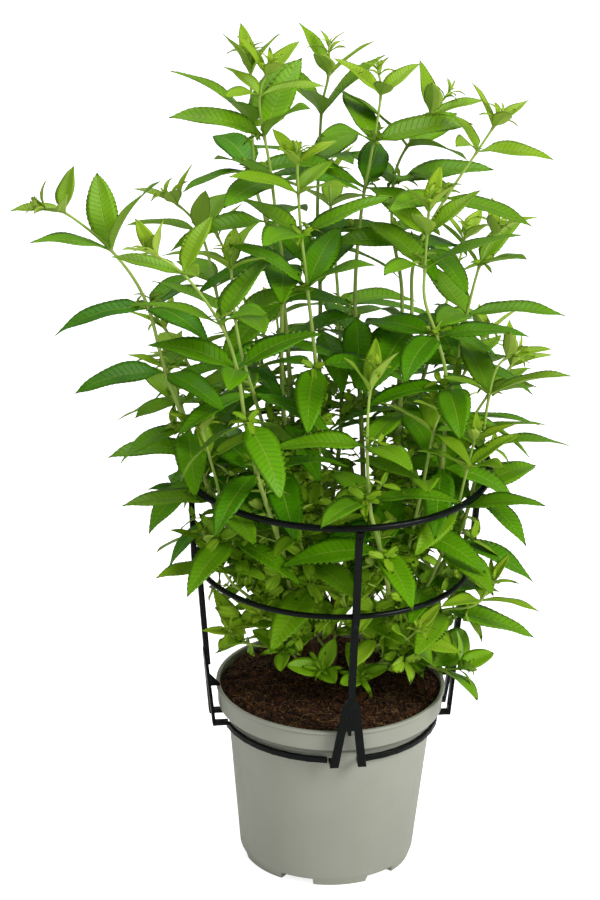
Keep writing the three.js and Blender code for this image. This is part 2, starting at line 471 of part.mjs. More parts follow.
// Each shoot: its cane, its route from the cane to its tip, and its first whorls, counted from
// the tip, as [distance from the tip, heading of one leaf, lift]. Older whorls follow by rule.
const SHOOTS = {
  shoot_01: {
    cane: 'cane_4',
    route: [[36, -38, 240], [44, -62, 268], [33, -92, 330], [27, -98, 356], [23, -98, 409],
      [24, -95, 455], [30, -95, 476]],
    whorls: [[22, 85, 20], [68, 65, 0], [115, 0, 12], [168, 60, 5]],
  },
  shoot_02: {
    cane: 'cane_1',
    route: [[-36, 9, 205], [-34, -20, 240], [-40, -55, 290], [-52, -80, 340], [-63, -92, 380],
      [-73, -97, 427], [-80, -100, 472], [-93, -103, 511], [-123, -105, 554], [-153, -105, 573]],
    whorls: [[12, 105, 10], [36, 45, 0], [88, 70, 25], [129, 30, 15], [176, 65, -15], [223, 10, 20]],
  },
  shoot_03: {
    cane: 'cane_3',
    route: [[-1, 1, 250], [-13, -20, 342], [-17, -35, 434], [-27, -42, 521], [-34, -45, 578],
      [-38, -45, 636]],
    whorls: [[13, 10, 0], [36, 70, 0], [72, 15, 10], [116, 75, 25]],
  },
  shoot_04: {
    cane: 'cane_1',
    route: [[-50, -4, 238], [-68, -16, 262], [-89, -25, 297], [-113, -30, 371], [-138, -30, 440],
      [-155, -30, 502], [-182, -30, 543], [-219, -30, 574], [-240, -30, 577]],
    whorls: [[22, 60, 0], [70, 95, 28], [127, 60, 10], [184, 70, 8], [236, 55, 10], [280, 80, 10],
      [318, 50, 12]],
  },
  shoot_05: {
    cane: 'cane_5',
    route: [[41, 12, 200], [66, 6, 228], [85, 0, 255], [104, -15, 307], [112, -22, 349],
      [116, -28, 378], [119, -30, 417], [126, -28, 451], [143, -25, 464]],
    whorls: [[12, 0, 0], [46, 110, 10], [95, 0, 5], [138, 60, 8], [190, 0, 5]],
  },
  shoot_06: {
    cane: 'cane_5',
    route: [[49, 10, 228], [70, -20, 300], [82, -38, 350], [85, -45, 390], [85, -45, 446],
      [76, -42, 482], [66, -40, 511], [65, -40, 538], [67, -40, 599]],
    whorls: [[14, 80, 10], [34, 20, 10], [61, 0, 6], [120, -5, 5], [164, 60, 5]],
  },
  shoot_07: {
    cane: 'cane_4',
    route: [[28, -20, 205], [46, -38, 250], [57, -45, 287], [66, -60, 342], [70, -62, 369],
      [76, -62, 408], [84, -60, 433]],
    whorls: [[10, 0, 0], [27, 60, -20], [72, 20, 0], [120, 80, 5]],
  },
  shoot_08: {
    cane: 'cane_3',
    route: [[1, 3, 215], [-18, -18, 265], [-36, -33, 316], [-61, -48, 409], [-80, -57, 480],
      [-87, -60, 541], [-88, -60, 560]],
    whorls: [[19, 90, 0], [60, 35, 0]],
  },
  shoot_09: {
    cane: 'cane_5',
    route: [[56, 8, 250], [54, 5, 320], [50, 5, 393], [57, 5, 472], [57, 5, 523], [72, 8, 563],
      [105, 18, 616], [123, 20, 646]],
    whorls: [[12, 40, 0], [35, 0, -5], [80, 0, -5], [126, 60, 0]],
  },
  shoot_10: {
    cane: 'cane_2',
    route: [[-24, 25, 236], [-38, 8, 330], [-46, 4, 430], [-47, 5, 518], [-52, 2, 555], [-59, 0, 607],
      [-68, -2, 661], [-59, -4, 693]],
    whorls: [[12, 45, 0], [30, 0, -12], [64, 60, 20], [104, 120, 10]],
  },
  shoot_11: {
    cane: 'cane_6',
    route: [[26, 46, 262], [20, 44, 370], [12, 45, 477], [15, 52, 550], [22, 56, 600], [28, 60, 646],
      [25, 60, 669]],
    whorls: [[23, 30, 0], [62, 0, 12], [100, 60, 5], [138, 0, 0]],
  },
  shoot_12: {
    cane: 'cane_2',
    route: [[-28, 24, 262], [-36, 30, 370], [-46, 37, 478], [-61, 42, 543], [-71, 45, 578],
      [-75, 45, 649], [-77, 45, 688]],
    whorls: [[22, 105, 22], [64, 60, 26], [104, 0, 14], [146, 60, 0]],
  },
  shoot_13: {
    cane: 'cane_6',
    route: [[24, 44, 232], [46, 50, 320], [50, 55, 400], [50, 60, 479], [41, 76, 526], [42, 85, 572],
      [57, 90, 603], [84, 95, 639]],
    whorls: [[25, 10, 12], [56, 60, 10], [90, 0, 18], [130, 60, 5]],
  },
  shoot_14: {
    cane: 'cane_7',
    route: [[-14, 66, 262], [-15, 76, 360], [-16, 82, 461], [-20, 92, 527], [-19, 105, 613],
      [-14, 108, 645], [-14, 110, 671]],
    whorls: [[26, 10, 15], [58, 10, 20], [98, 60, 10]],
  },
  shoot_15: {
    cane: 'cane_2',
    route: [[-20.5, 26, 215], [-42, 32, 280], [-63, 35, 346], [-93, 45, 448], [-114, 55, 528],
      [-144, 60, 559]],
    whorls: [[14, 40, 0], [44, 60, 5], [90, 120, 5]],
  },
  shoot_16: {
    cane: 'cane_7', sparse: true,
    route: [[-11.5, 59, 235], [-38, 82, 290], [-52, 92, 350], [-72, 118, 425], [-92, 138, 472],
      [-108, 146, 502]],
    whorls: [[12, 0, 0], [34, 60, 0]],
  },
  shoot_17: {
    cane: 'cane_7', sparse: true,
    route: [[-8, 54, 210], [-2, 82, 280], [4, 102, 345], [0, 138, 430], [-8, 170, 500],
      [-12, 184, 542]],
    whorls: [[12, 30, 0], [34, 90, 0]],
  },
  shoot_18: {
    cane: 'cane_6', sparse: true,
    route: [[22.5, 42.5, 215], [44, 68, 285], [60, 84, 350], [82, 112, 425], [98, 136, 475],
      [104, 144, 506]],
    whorls: [[12, 60, 0], [40, 0, 0], [84, 60, 5], [128, 0, 5], [172, 60, 0]],
  },
  shoot_19: {
    cane: 'cane_2', sparse: true,
    route: [[-18.5, 26, 200], [-52, 44, 262], [-84, 58, 330], [-108, 68, 380], [-132, 78, 418],
      [-150, 88, 440]],
    whorls: [[12, 60, 0], [40, 110, 0], [84, 60, 8], [128, 100, 5]],
  },
  shoot_20: {
    cane: 'cane_5', sparse: true,
    route: [[44.5, 11.5, 215], [72, 36, 270], [94, 52, 335], [114, 62, 372], [134, 72, 400],
      [150, 80, 416]],
    whorls: [[12, 0, 0], [40, 60, 10], [84, 0, 10]],
  },
  shoot_21: {
    cane: 'cane_7', sparse: true,
    route: [[-6, 52, 195], [-26, 80, 260], [-34, 98, 325], [-46, 132, 385], [-54, 166, 425]],
    whorls: [[12, 0, 0], [36, 60, 0]],
  },
  shoot_22: {
    cane: 'cane_6', sparse: true,
    route: [[20.5, 40.5, 195], [58, 62, 250], [80, 68, 320], [100, 88, 385], [124, 112, 428]],
    whorls: [[12, 0, 10], [40, 60, 10], [84, 0, 10], [128, 60, 10]],
  },
  shoot_23: {
    cane: 'cane_1',
    route: [[-30, 14, 186], [-52, -12, 222], [-72, -32, 248], [-84, -40, 263], [-98, -50, 293],
      [-106, -56, 312]],
    whorls: [[12, 60, 0], [40, 100, 0]],
  },
  shoot_24: {
    cane: 'cane_5',
    route: [[36.5, 14, 176], [62, 0, 205], [90, -20, 231], [110, -28, 238], [121, -31, 247],
      [130, -35, 268]],
    whorls: [[7, 40, -10], [24, 100, -10], [62, 0, 0]],
  },
  shoot_25: {
    cane: 'cane_4', round: true,
    route: [[23, -8, 172], [45, -16, 180], [65, -20, 187], [88, -30, 183], [110, -35, 186]],
    whorls: [[6, 35, 0], [28, 80, 5]],
  },
  shoot_26: {
    cane: 'cane_4', round: true,
    route: [[20, -2, 153], [22, -22, 166], [24, -42, 178]],
    whorls: [[6, 0, -15]],
  },
  shoot_27: {
    cane: 'cane_3', round: true,
    route: [[2, 6, 156], [-3, -20, 172], [-8, -46, 186]],
    whorls: [[6, 60, -15]],
  },
  shoot_28: {
    cane: 'cane_1', round: true,
    route: [[-25, 17, 160], [-32, -8, 182], [-40, -34, 198]],
    whorls: [[6, 30, -20]],
  },
  shoot_29: {
    cane: 'cane_5', round: true,
    route: [[32.5, 15.5, 158], [44, -3, 176], [55, -20, 190], [61, -30, 199]],
    whorls: [[6, 90, -15], [24, 30, 0]],
  },
  shoot_30: {
    cane: 'cane_3',
    route: [[2, 5, 190], [8, -24, 222], [10, -52, 246], [6, -70, 268]],
    whorls: [[7, 80, 0], [26, 20, 0], [50, 80, 0]],
  },
  shoot_31: {
    cane: 'cane_2',
    route: [[-15.5, 26, 180], [-28, -8, 205], [-42, -32, 222], [-58, -54, 238]],
    whorls: [[7, 30, 0], [26, 90, 10]],
  },
  shoot_32: {
    cane: 'cane_4',
    route: [[24, -10, 185], [40, -34, 206], [58, -58, 222], [70, -74, 240]],
    whorls: [[7, 50, 0], [26, 110, 0]],
  },
  shoot_33: {
    cane: 'cane_7', round: true,
    route: [[-2.5, 45, 160], [-22, 62, 178], [-40, 76, 188]],
    whorls: [[6, 60, -10], [22, 0, 0]],
  },
  shoot_34: {
    cane: 'cane_6', round: true,
    route: [[18.5, 39, 160], [38, 56, 176], [54, 68, 188]],
    whorls: [[6, 30, -10], [26, 90, 0]],
  },
  shoot_35: {
    cane: 'cane_1',
    route: [[-43, 2.5, 222], [-74, 6, 262], [-104, 8, 330], [-126, 12, 392], [-142, 16, 436]],
    whorls: [[14, 60, 0], [44, 120, 0], [88, 60, 8], [132, 120, 8], [170, 60, 8]],
  },
  shoot_36: {
    cane: 'cane_1',
    route: [[-27.5, 15.5, 173], [-50, -16, 192], [-70, -42, 208], [-84, -60, 228]],
    whorls: [[8, 60, 10], [28, 110, 22]],
  },
  shoot_37: {
    cane: 'cane_5',
    route: [[38.5, 13.3, 188], [60, -16, 222], [82, -38, 276], [96, -50, 330], [104, -57, 375],
      [110, -60, 408]],
    whorls: [[10, 0, 0], [34, 60, 0], [74, 0, 5], [116, 60, 5], [160, 0, 5]],
  },
  shoot_38: {
    cane: 'cane_1',
    route: [[-46, 0, 228], [-66, -32, 252], [-84, -54, 310], [-98, -64, 370], [-110, -68, 415]],
    whorls: [[10, 60, 0], [34, 0, 0], [74, 60, 5], [116, 120, 5]],
  },
  shoot_39: {
    cane: 'cane_5',
    route: [[53, 9, 240], [72, 24, 300], [88, 30, 380], [100, 30, 460], [112, 28, 520],
      [126, 28, 552]],
    whorls: [[12, 0, 5], [40, 60, 5], [84, 0, 5], [128, 60, 5], [172, 0, 5]],
  },
  shoot_40: {
    cane: 'cane_3',
    route: [[1.5, 4, 203], [-14, -26, 248], [-26, -52, 298], [-34, -68, 340]],
    whorls: [[10, 60, 0], [32, 120, 0], [64, 60, 0], [98, 0, 0]],
  },
};

// ---------------------------------------------------------------- leaves

const WHORL_SPACING = 70;         // between the older whorls of a shoot
const SPARSE_SPACING = 84;        // on the shoots behind
const WHORL_TURN = 60;            // each whorl stands over the gaps of the next
const BARE_FOOT = 140;            // no leaves this near a long shoot's lower end
const SPARSE_BARE_FOOT = 170;
const LEAVES_PER_WHORL = 3;
const YOUNG_LENGTH = 0.28;        // of a grown leaf, at the very tip
const GROWN_AT = 62;              // distance from the tip where leaves are full-grown
const WIDEST_AT = [0.8, 1.1];     // powers of the outline towards the base and the tip
const OUTLINE_PEAK = 0.2745;
const EDGE_WAVE = 0.8;
const ROOT_START = 0.6;           // of the stem's radius, how far from its middle a blade begins
const CLEARANCE = 0.35;
const MERGE_WITHIN = 0.02;        // corners nearer than this after a join become one
const NEAR_CORNERS = [1e-4, 1e-3];

// Edge points from base to tip as [along, share of the outline's width, up or down].
const TOOTHED_EDGE = [[0.24, 1.04, 1], [0.6, 1.1, -1], [0.66, 0.84, 1]];
const PLAIN_EDGE = [[0.25, 1, 1], [0.6, 1.03, -1]];
const RIB_HIGHEST = 0.4;          // where a blade is thickest
const TOOTHED_FROM = 36;          // leaves shorter than this keep a plain edge
const TOOTHED_WITHIN = 40;        // as do those further than this below the tip

// What a leaf in the way of another piece tries, in turn: [turn, lift, share of its length].
const TRIES = [
  [0, 0, 1], [12, 0, 1], [-12, 0, 1], [0, 14, 1], [0, -14, 1], [24, 8, 1], [-24, 8, 1],
  [12, 22, 0.95], [-12, 22, 0.95], [0, 30, 0.9], [24, -14, 0.9], [-24, -14, 0.9],
  [36, 0, 0.9], [-36, 0, 0.9], [0, -28, 0.85], [40, 24, 0.8], [-40, 24, 0.8],
  [0, 42, 0.8], [18, 6, 0.7], [-18, 6, 0.7], [0, 20, 0.62], [30, 34, 0.62], [-30, 34, 0.62],
];

/** A repeatable series of draws between -1 and 1. */
function draws(seed) {
  let state = seed * 7919 + 17;
  return () => {
    state = (Math.imul(1664525, state) + 1013904223) >>> 0;
    return state / 2147483648 - 1;
  };
}

/** The whorls of a shoot: the given ones, then one every WHORL_SPACING down to the bare foot. */
function whorlsOf(shoot, length) {
  const whorls = shoot.whorls.map((whorl) => [...whorl]);
  const spacing = shoot.sparse ? SPARSE_SPACING : WHORL_SPACING;
  let [distance, heading] = whorls[whorls.length - 1];
  const bare = shoot.sparse ? SPARSE_BARE_FOOT : BARE_FOOT;
  while (distance + spacing < length - bare) {
    distance += spacing;
    heading += WHORL_TURN;
    whorls.push([distance, heading, 0]);
  }
  return whorls;
}

/** How a leaf stands, worked out from its distance below the tip, with a little chance in each. */
function leafHabit(shoot, distance, heading, lift, draw) {
  const age = Math.min(distance / GROWN_AT, 1);
  const old = distance > 230 ? 0.92 : 1;
  return {
    length: LEAF_LENGTH * (YOUNG_LENGTH + (1 - YOUNG_LENGTH) * age ** 0.8) * old * (1 + 0.08 * draw()),
    slenderness: (shoot.round ? ROUND_SLENDERNESS : LEAF_SLENDERNESS) * (1 + 0.1 * draw()),
    rise: 58 - 38 * (1 - Math.exp(-distance / 45)) - 0.11 * distance + lift + 7 * draw(),
    heading: heading + 9 * draw(),
    bend: 14 + 26 * (1 - Math.exp(-distance / 60)) + 0.03 * distance + 8 * draw(),
    roll: 14 * draw(),
    twist: 12 * draw(),
    fold: 20 - 11 * age + 4 * draw(),
    sweep: 0.06 * draw(),
    toothed: distance < TOOTHED_WITHIN,
  };
}

/** A leaf's midrib and the directions across and out of its blade, at a share of its length. */
function bladeFrame(foot, axis, leaf, along) {
  const level = vec(Math.cos(degrees(leaf.heading)), Math.sin(degrees(leaf.heading)), 0);
  const out = level.addScaledVector(axis, -level.dot(axis)).normalize();
  const side = axis.clone().cross(out);
  const rise = degrees(leaf.rise);
  const bend = degrees(leaf.bend);
  const slope = rise - bend * along;
  const rib = foot.clone()
    .addScaledVector(out, leaf.length * (Math.sin(rise) - Math.sin(slope)) / bend)
    .addScaledVector(axis, leaf.length * (Math.cos(slope) - Math.cos(rise)) / bend)
    .addScaledVector(side, leaf.length * leaf.sweep * along * along);
  const normal = out.clone().multiplyScalar(-Math.sin(slope)).addScaledVector(axis, Math.cos(slope));
  const roll = degrees(leaf.roll + leaf.twist * along);
  const across = side.clone().multiplyScalar(Math.cos(roll)).addScaledVector(normal, Math.sin(roll));
  const up = normal.multiplyScalar(Math.cos(roll)).addScaledVector(side, -Math.sin(roll));
  return { rib, across, up };
}

/** The blade's half-width: pointed at both ends and widest below its middle. */
function halfWidth(leaf, along) {
  const [toBase, toTip] = WIDEST_AT;
  const share = along ** toBase * (1 - along) ** toTip / OUTLINE_PEAK;
  return leaf.length * leaf.slenderness / 2 * share;
}

/** A toothed, folded, arching blade as a closed solid, `grow` larger all round. */
function blade(foot, axis, leaf, grow = 0) {
  const edge = leaf.toothed ? TOOTHED_EDGE : PLAIN_EDGE;
  const base = bladeFrame(foot, axis, leaf, leaf.root / leaf.length).rib;
  const end = bladeFrame(foot, axis, leaf, 1 + grow / leaf.length).rib;
  const points = [base, end];
  const fold = degrees(leaf.fold);
  const sides = [1, -1].map((hand) => edge.map(([along, share, wave]) => {
    const { rib, across, up } = bladeFrame(foot, axis, leaf, along);
    const reach = halfWidth(leaf, along) * share + grow;
    points.push(rib
      .addScaledVector(across, hand * reach * Math.cos(fold))
      .addScaledVector(up, reach * Math.sin(fold) + EDGE_WAVE * wave * hand));
    return points.length - 1;
  }));
  const faces = [1, -1].map((hand) => {
    const { rib, up } = bladeFrame(foot, axis, leaf, RIB_HIGHEST);
    points.push(rib.addScaledVector(up, hand * (LEAF_HALF_THICKNESS + grow)));
    return points.length - 1;
  });
  const corners = [];
  sides.forEach((side, handIndex) => faces.forEach((face, faceIndex) => {
    const rim = [0, ...side, 1];
    for (let k = 0; k < rim.length - 1; k += 1) {
      const corner = [rim[k], rim[k + 1], face];
      corners.push(handIndex === faceIndex ? corner.reverse() : corner);
    }
  }));
  return solid(points, corners);
}

// ---------------------------------------------------------------- growing the plant clear of itself

const obstacles = [];

function addObstacle(body, owner) {
  const { min, max } = body.boundingBox();
  obstacles.push({ body, owner, min, max });
}

/** True where a grown blade touches a piece that isn't its own stem or its own whorl. */
function inTheWay(body, owners) {
  const { min, max } = body.boundingBox();
  return obstacles.some((other) => {
    if (owners.includes(other.owner)) return false;
    if ([0, 1, 2].some((k) => other.max[k] < min[k] || other.min[k] > max[k])) return false;
    return !body.intersect(other.body).isEmpty();
  });
}

/** A shoot's radius: thickest at its foot, and thicker the longer the shoot is. */
function stemRadius(length) {
  return (along) => STEM_TIP_RADIUS + Math.min(length, LONGEST_TAPER) * STEM_TAPER * (1 - along);
}

/** The number of a stem's straight stretches. */
function stemSteps(length) {
  return Math.max(2, Math.round(length / STEM_STEP));
}

function stemOf(shoot, turn) {
  const length = shoot.curve.getLength();
  return tube(shoot.curve, stemSteps(length), STEM_SIDES, stemRadius(length), 0, turn);
}

/** The middle of a stem's straight stretch at a share of its length, where its leaves are rooted. */
function stemMiddle(curve, along) {
  const steps = stemSteps(curve.getLength());
  const stretch = Math.min(Math.floor(along * steps), steps - 1);
  const end = curve.getPointAt((stretch + 1) / steps);
  return curve.getPointAt(stretch / steps).lerp(end, along * steps - stretch);
}

/** A shoot's leaves, each put in the first of its tries that clears everything else. */
function leavesOf(name, shoot, number) {
  const draw = draws(number);
  const length = shoot.curve.getLength();
  const leaves = [];
  whorlsOf(shoot, length).forEach(([distance, heading, lift], whorl) => {
    const along = 1 - distance / length;
    const centre = stemMiddle(shoot.curve, along);
    const tangent = shoot.curve.getTangentAt(along);
    const root = ROOT_START * stemRadius(length)(along);
    const axis = tangent.clone().add(vec(0, 0, 1)).normalize();
    const owner = `${name} whorl ${whorl}`;
    for (let k = 0; k < LEAVES_PER_WHORL; k += 1) {
      const habit = leafHabit(shoot, distance, heading + k * 360 / LEAVES_PER_WHORL, lift, draw);
      for (const [turn, rise, share] of TRIES) {
        const leaf = { ...habit, root };
        leaf.heading += turn;
        leaf.rise += rise;
        leaf.length *= share;
        if (leaf.length < SMALLEST_LEAF) break;
        leaf.toothed = habit.toothed && leaf.length > TOOTHED_FROM && !shoot.sparse;
        if (!inTheWay(blade(centre, axis, leaf, CLEARANCE), [name, owner])) {
          const body = blade(centre, axis, leaf);
          addObstacle(body, owner);
          leaves.push(body);
          break;
        }
      }
    }
  });
  return leaves;
}

/** True where each edge joins just two faces, also once corners nearer than each of these are one. */
function isSound(body) {
  return NEAR_CORNERS.every((within) => {
    const corners = mergeVertices(meshOf('', body, foliage).geometry, within).index.array;
    const edges = new Set();
    for (let k = 0; k < corners.length; k += 3) {
      const face = corners.slice(k, k + 3);
      if (new Set(face).size < 3) continue;
      for (let side = 0; side < 3; side += 1) {
        const edge = `${face[side]} ${face[(side + 1) % 3]}`;
        if (edges.has(edge)) return false;
        edges.add(edge);
      }
    }
    return [...edges].every((edge) => edges.has(edge.split(' ').reverse().join(' ')));
  });
}

/** Stem and leaves as one body, cut clear of the cane, with the stem turned until every join holds. */
function fused(shoot, leaves, cane) {
  const turns = Array.from({ length: 16 }, (_, k) => k * 5.3);
  const whole = (turn) => wasm.Manifold.union([stemOf(shoot, turn), ...leaves]);
  const cut = (turn) => whole(turn).subtract(cane).simplify(MERGE_WITHIN)
    .decompose().sort((one, other) => other.volume() - one.volume())[0];
  const holds = (turn) => whole(turn).decompose().length === 1 && isSound(cut(turn));
  return cut(turns.find(holds) ?? 0);
}

// ---------------------------------------------------------------- the whole plant in its pot

const group = new THREE.Group();

function place(name, body, material) {
  group.add(meshOf(name, body, material));
}

const upperRing = makeRing(UPPER_RING_RADIUS, UPPER_RING_HEIGHT, UPPER_RING_WIDTH);
const middleRing = makeRing(MIDDLE_RING_RADIUS, MIDDLE_RING_HEIGHT, MIDDLE_RING_WIDTH);
const caneRadius = (along) => CANE_RADIUS + (CANE_TOP_RADIUS - CANE_RADIUS) * along;
const caneRoutes = Object.fromEntries(
  Object.entries(CANES).map(([name, points]) => [name, routeThrough(points)]),
);
const caneFeet = Object.values(CANES).map((points) => points[0]);

const pieces = {
  pot: [makePot(), potPlastic],
  soil: [makeSoil(caneFeet), soilMatter],
  upper_ring: [upperRing, cagePlastic],
  middle_ring: [middleRing, cagePlastic],
};
POST_HEADINGS.forEach((heading, k) => {
  pieces[`post_${k + 1}`] = [makePost(heading - 90), cagePlastic];
  pieces[`band_${k + 1}`] = [makeBand(heading - 90, k + 1 === NUB_BAND), cagePlastic];
});
Object.entries(caneRoutes).forEach(([name, route]) => {
  pieces[name] = [tube(route, CANE_STEPS, CANE_SIDES, caneRadius), bark];
});
Object.entries(pieces).forEach(([name, [body, material]]) => {
  place(name, body, material);
  addObstacle(body, name);
});

for (const [name, shoot] of Object.entries(SHOOTS)) {
  shoot.curve = routeThrough(shoot.route);
  shoot.stem = stemOf(shoot, 0);
  addObstacle(shoot.stem, name);
}
Object.entries(SHOOTS).forEach(([name, shoot], index) => {
  const leaves = leavesOf(name, shoot, index + 1);
  const cane = tube(caneRoutes[shoot.cane], CANE_STEPS, CANE_SIDES, caneRadius, GAP);
  place(name, fused(shoot, leaves, cane), foliage);
});

export default group;
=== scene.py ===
"""Lemon verbena in its nursery pot, inside a clip-on support cage: the finished surfaces.

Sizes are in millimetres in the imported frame's axes, and a piece's mesh holds them in metres.
"""

import math

import bmesh
import bpy
import numpy as np
from mathutils import Matrix, Vector


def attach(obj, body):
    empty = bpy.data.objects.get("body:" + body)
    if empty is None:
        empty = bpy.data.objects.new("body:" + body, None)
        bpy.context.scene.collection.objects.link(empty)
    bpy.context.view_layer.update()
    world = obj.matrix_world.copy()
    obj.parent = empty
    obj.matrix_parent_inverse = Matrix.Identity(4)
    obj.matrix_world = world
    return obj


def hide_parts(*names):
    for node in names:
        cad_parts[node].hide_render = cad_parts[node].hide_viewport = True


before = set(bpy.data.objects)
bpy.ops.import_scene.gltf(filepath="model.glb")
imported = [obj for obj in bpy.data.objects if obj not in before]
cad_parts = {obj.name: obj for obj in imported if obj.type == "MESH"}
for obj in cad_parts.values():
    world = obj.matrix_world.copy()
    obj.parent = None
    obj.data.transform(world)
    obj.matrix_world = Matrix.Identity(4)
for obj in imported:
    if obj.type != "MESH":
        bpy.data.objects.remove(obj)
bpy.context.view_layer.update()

# ------------------------------------------------------------------ camera
# A long lens about 3.2 m in front of the pot and 1.8 m up, so that the rim shows as an ellipse.
# It looks straight along +Y, down by DOWN degrees, and is tilted by ROLL degrees.
EYE = (-0.02975, -3.21044, 1.75645)
DOWN = 23.47
ROLL = 1.36
FOCAL_LENGTH = 172.66

lens = bpy.data.cameras.new("view")
lens.lens = FOCAL_LENGTH
lens.clip_end = 40
camera = bpy.data.objects.new("view", lens)
camera.matrix_world = (
    Matrix.Translation(EYE)
    @ Matrix.Rotation(math.radians(90 - DOWN), 4, "X")
    @ Matrix.Rotation(math.radians(ROLL), 4, "Z")
)
bpy.context.scene.collection.objects.link(camera)
bpy.context.scene.camera = camera

# ------------------------------------------------------------------ nursery pot
# A thin injection-moulded polypropylene pot: satin grey, with a deep collar under a rounded rim,
# a narrow step below the collar, and six feet that stand it clear of the bench so that it drains.
# It is one moulding; the only marks on it are faint flow streaks and scuffs from handling.
MM = 0.001
RIM_RADIUS = 95.0
POT_HEIGHT = 155.2
BASE_RADIUS = 69.8
CORNER = 8.0
WALL_AT_CORNER = 72.4
WALL_AT_STRIP = 84.8
WALL_THICKNESS = 1.8
STRIP_BOTTOM = 132.4
STRIP_RADIUS = 88.0
COLLAR_BOTTOM = 137.4
COLLAR_RADIUS = 93.0
BEAD_BOTTOM = 151.8
FLOOR_UNDERSIDE = 5.0
FLOOR_TOP = 7.6
HUB_RADIUS = 26.0
FOOT_RING_INNER = 62.5
FEET = 6
FOOT_HEADING = -80.0
NOTCH_HEIGHT = 6.2
NOTCH_HALF_ANGLE = (10.9, 11.7)     # degrees, where its sides end and begin
DRAIN_RADIUS = 4.0
DRAIN_CIRCLE = 44.0
DRAINS = 6
POT_SOFTNESS = 0.4                  # how far each moulded edge is rounded
POT_COLUMN_STEP = 1.5               # degrees between the wall's upright lines
GROOVE_WIDTH = 0.7                  # of the painted line of shade under the rim's bead
GROOVE_SHADE = 0.6
DRAIN_SIDES = 24
DRILL_SPAN = (3.0, 9.0)             # heights between which the floor is drilled
WALL_ROWS = 7                       # level lines up the wall, so that its shading stays even


def linear(code):
    """A screen colour such as '#a9ac9f' as the linear red, green and blue that light mixes in, and
    an alpha of 1."""
    channels = np.array([int(code[k : k + 2], 16) for k in (1, 3, 5)]) / 255
    bright = ((channels + 0.055) / 1.055) ** 2.4
    return (*np.where(channels < 0.04045, channels / 12.92, bright), 1.0)


def feed(tree, socket, value):
    """Links a socket to the output that feeds it, or sets it to a value or a screen colour."""
    if isinstance(value, bpy.types.NodeSocket):
        tree.links.new(value, socket)
    else:
        socket.default_value = linear(value) if isinstance(value, str) else value


def reckon(tree, operation, *values):
    """The result of a Math node on these values."""
    node = tree.nodes.new("ShaderNodeMath")
    node.operation = operation
    for socket, value in zip(node.inputs, values):
        feed(tree, socket, value)
    return node.outputs[0]


def times(tree, first, second):
    """The product of two values."""
    return reckon(tree, "MULTIPLY", first, second)


def blended(tree, share, first, second):
    """The first colour where share is 0, the second where it is 1."""
    node = tree.nodes.new("ShaderNodeMix")
    node.data_type = "RGBA"
    feed(tree, node.inputs[0], share)
    feed(tree, node.inputs[6], first)
    feed(tree, node.inputs[7], second)
    return node.outputs[2]


def rising(tree, value, low, high, start=0.0, end=1.0):
    """Goes smoothly from start, where value is low, to end, where it is high."""
    node = tree.nodes.new("ShaderNodeMapRange")
    node.interpolation_type = "SMOOTHSTEP"
    for socket, number in zip(node.inputs, (value, low, high, start, end)):
        feed(tree, socket, number)
    return node.outputs[0]


def grain(tree, scale, detail, stretch=(1, 1, 1)):
    """Noise with `scale` patches a metre, drawn out by `stretch`."""
    mapping = tree.nodes.new("ShaderNodeMapping")
    mapping.inputs["Scale"].default_value = stretch
    feed(tree, mapping.inputs["Vector"], tree.nodes.new("ShaderNodeTexCoord").outputs["Object"])
    node = tree.nodes.new("ShaderNodeTexNoise")
    feed(tree, node.inputs["Vector"], mapping.outputs[0])
    feed(tree, node.inputs["Scale"], scale)
    node.inputs["Detail"].default_value = detail
    return node.outputs[0]


def reading(tree, name):
    """A number that the mesh holds for each point or face."""
    node = tree.nodes.new("ShaderNodeAttribute")
    node.attribute_name = name
    return node.outputs["Fac"]


def build_mottle():
    """Soft drifting patches of a second tone, as in any moulded or grown surface."""
    group = bpy.data.node_groups.new("mottle", "ShaderNodeTree")
    for label, way, kind in (
        ("Tone", "INPUT", "NodeSocketColor"), ("Second Tone", "INPUT", "NodeSocketColor"),
        ("Patches", "INPUT", "NodeSocketFloat"), ("Share", "INPUT", "NodeSocketFloat"),
        ("Color", "OUTPUT", "NodeSocketColor"), ("Patch", "OUTPUT", "NodeSocketFloat"),
    ):
        group.interface.new_socket(label, in_out=way, socket_type=kind)
    given = group.nodes.new("NodeGroupInput").outputs
    result = group.nodes.new("NodeGroupOutput").inputs
    patch = rising(group, grain(group, given["Patches"], 4.0), 0.36, 0.64)
    share = times(group, patch, given["Share"])
    feed(group, result["Color"], blended(group, share, given["Tone"], given["Second Tone"]))
    feed(group, result["Patch"], patch)
    return group


MOTTLE = build_mottle()


def mottled(tree, tone, second_tone, patches, share):
    """The colour and the patch mask of a mottle group with these values."""
    node = tree.nodes.new("ShaderNodeGroup")
    node.node_tree = MOTTLE
    for socket, value in zip(node.inputs, (tone, second_tone, patches, share)):
        feed(tree, socket, value)
    return node.outputs["Color"], node.outputs["Patch"]


def new_material(name):
    """A material and its node tree."""
    material = bpy.data.materials.new(name)
    material.use_nodes = True
    return material, material.node_tree


def surfaced(tree, colour, roughness, specular=0.5):
    """Gives the shader its colour, its roughness and the strength of its highlights."""
    sockets = tree.nodes["Principled BSDF"].inputs
    feed(tree, sockets["Base Color"], colour)
    feed(tree, sockets["Roughness"], roughness)
    sockets["Specular IOR Level"].default_value = specular


def relief(tree, height, strength, depth):
    """Bumps the surface by a height from 0 to 1 that stands for `depth` metres."""
    node = tree.nodes.new("ShaderNodeBump")
    node.inputs["Strength"].default_value = strength
    node.inputs["Distance"].default_value = depth
    feed(tree, node.inputs["Height"], height)
    feed(tree, tree.nodes["Principled BSDF"].inputs["Normal"], node.outputs[0])


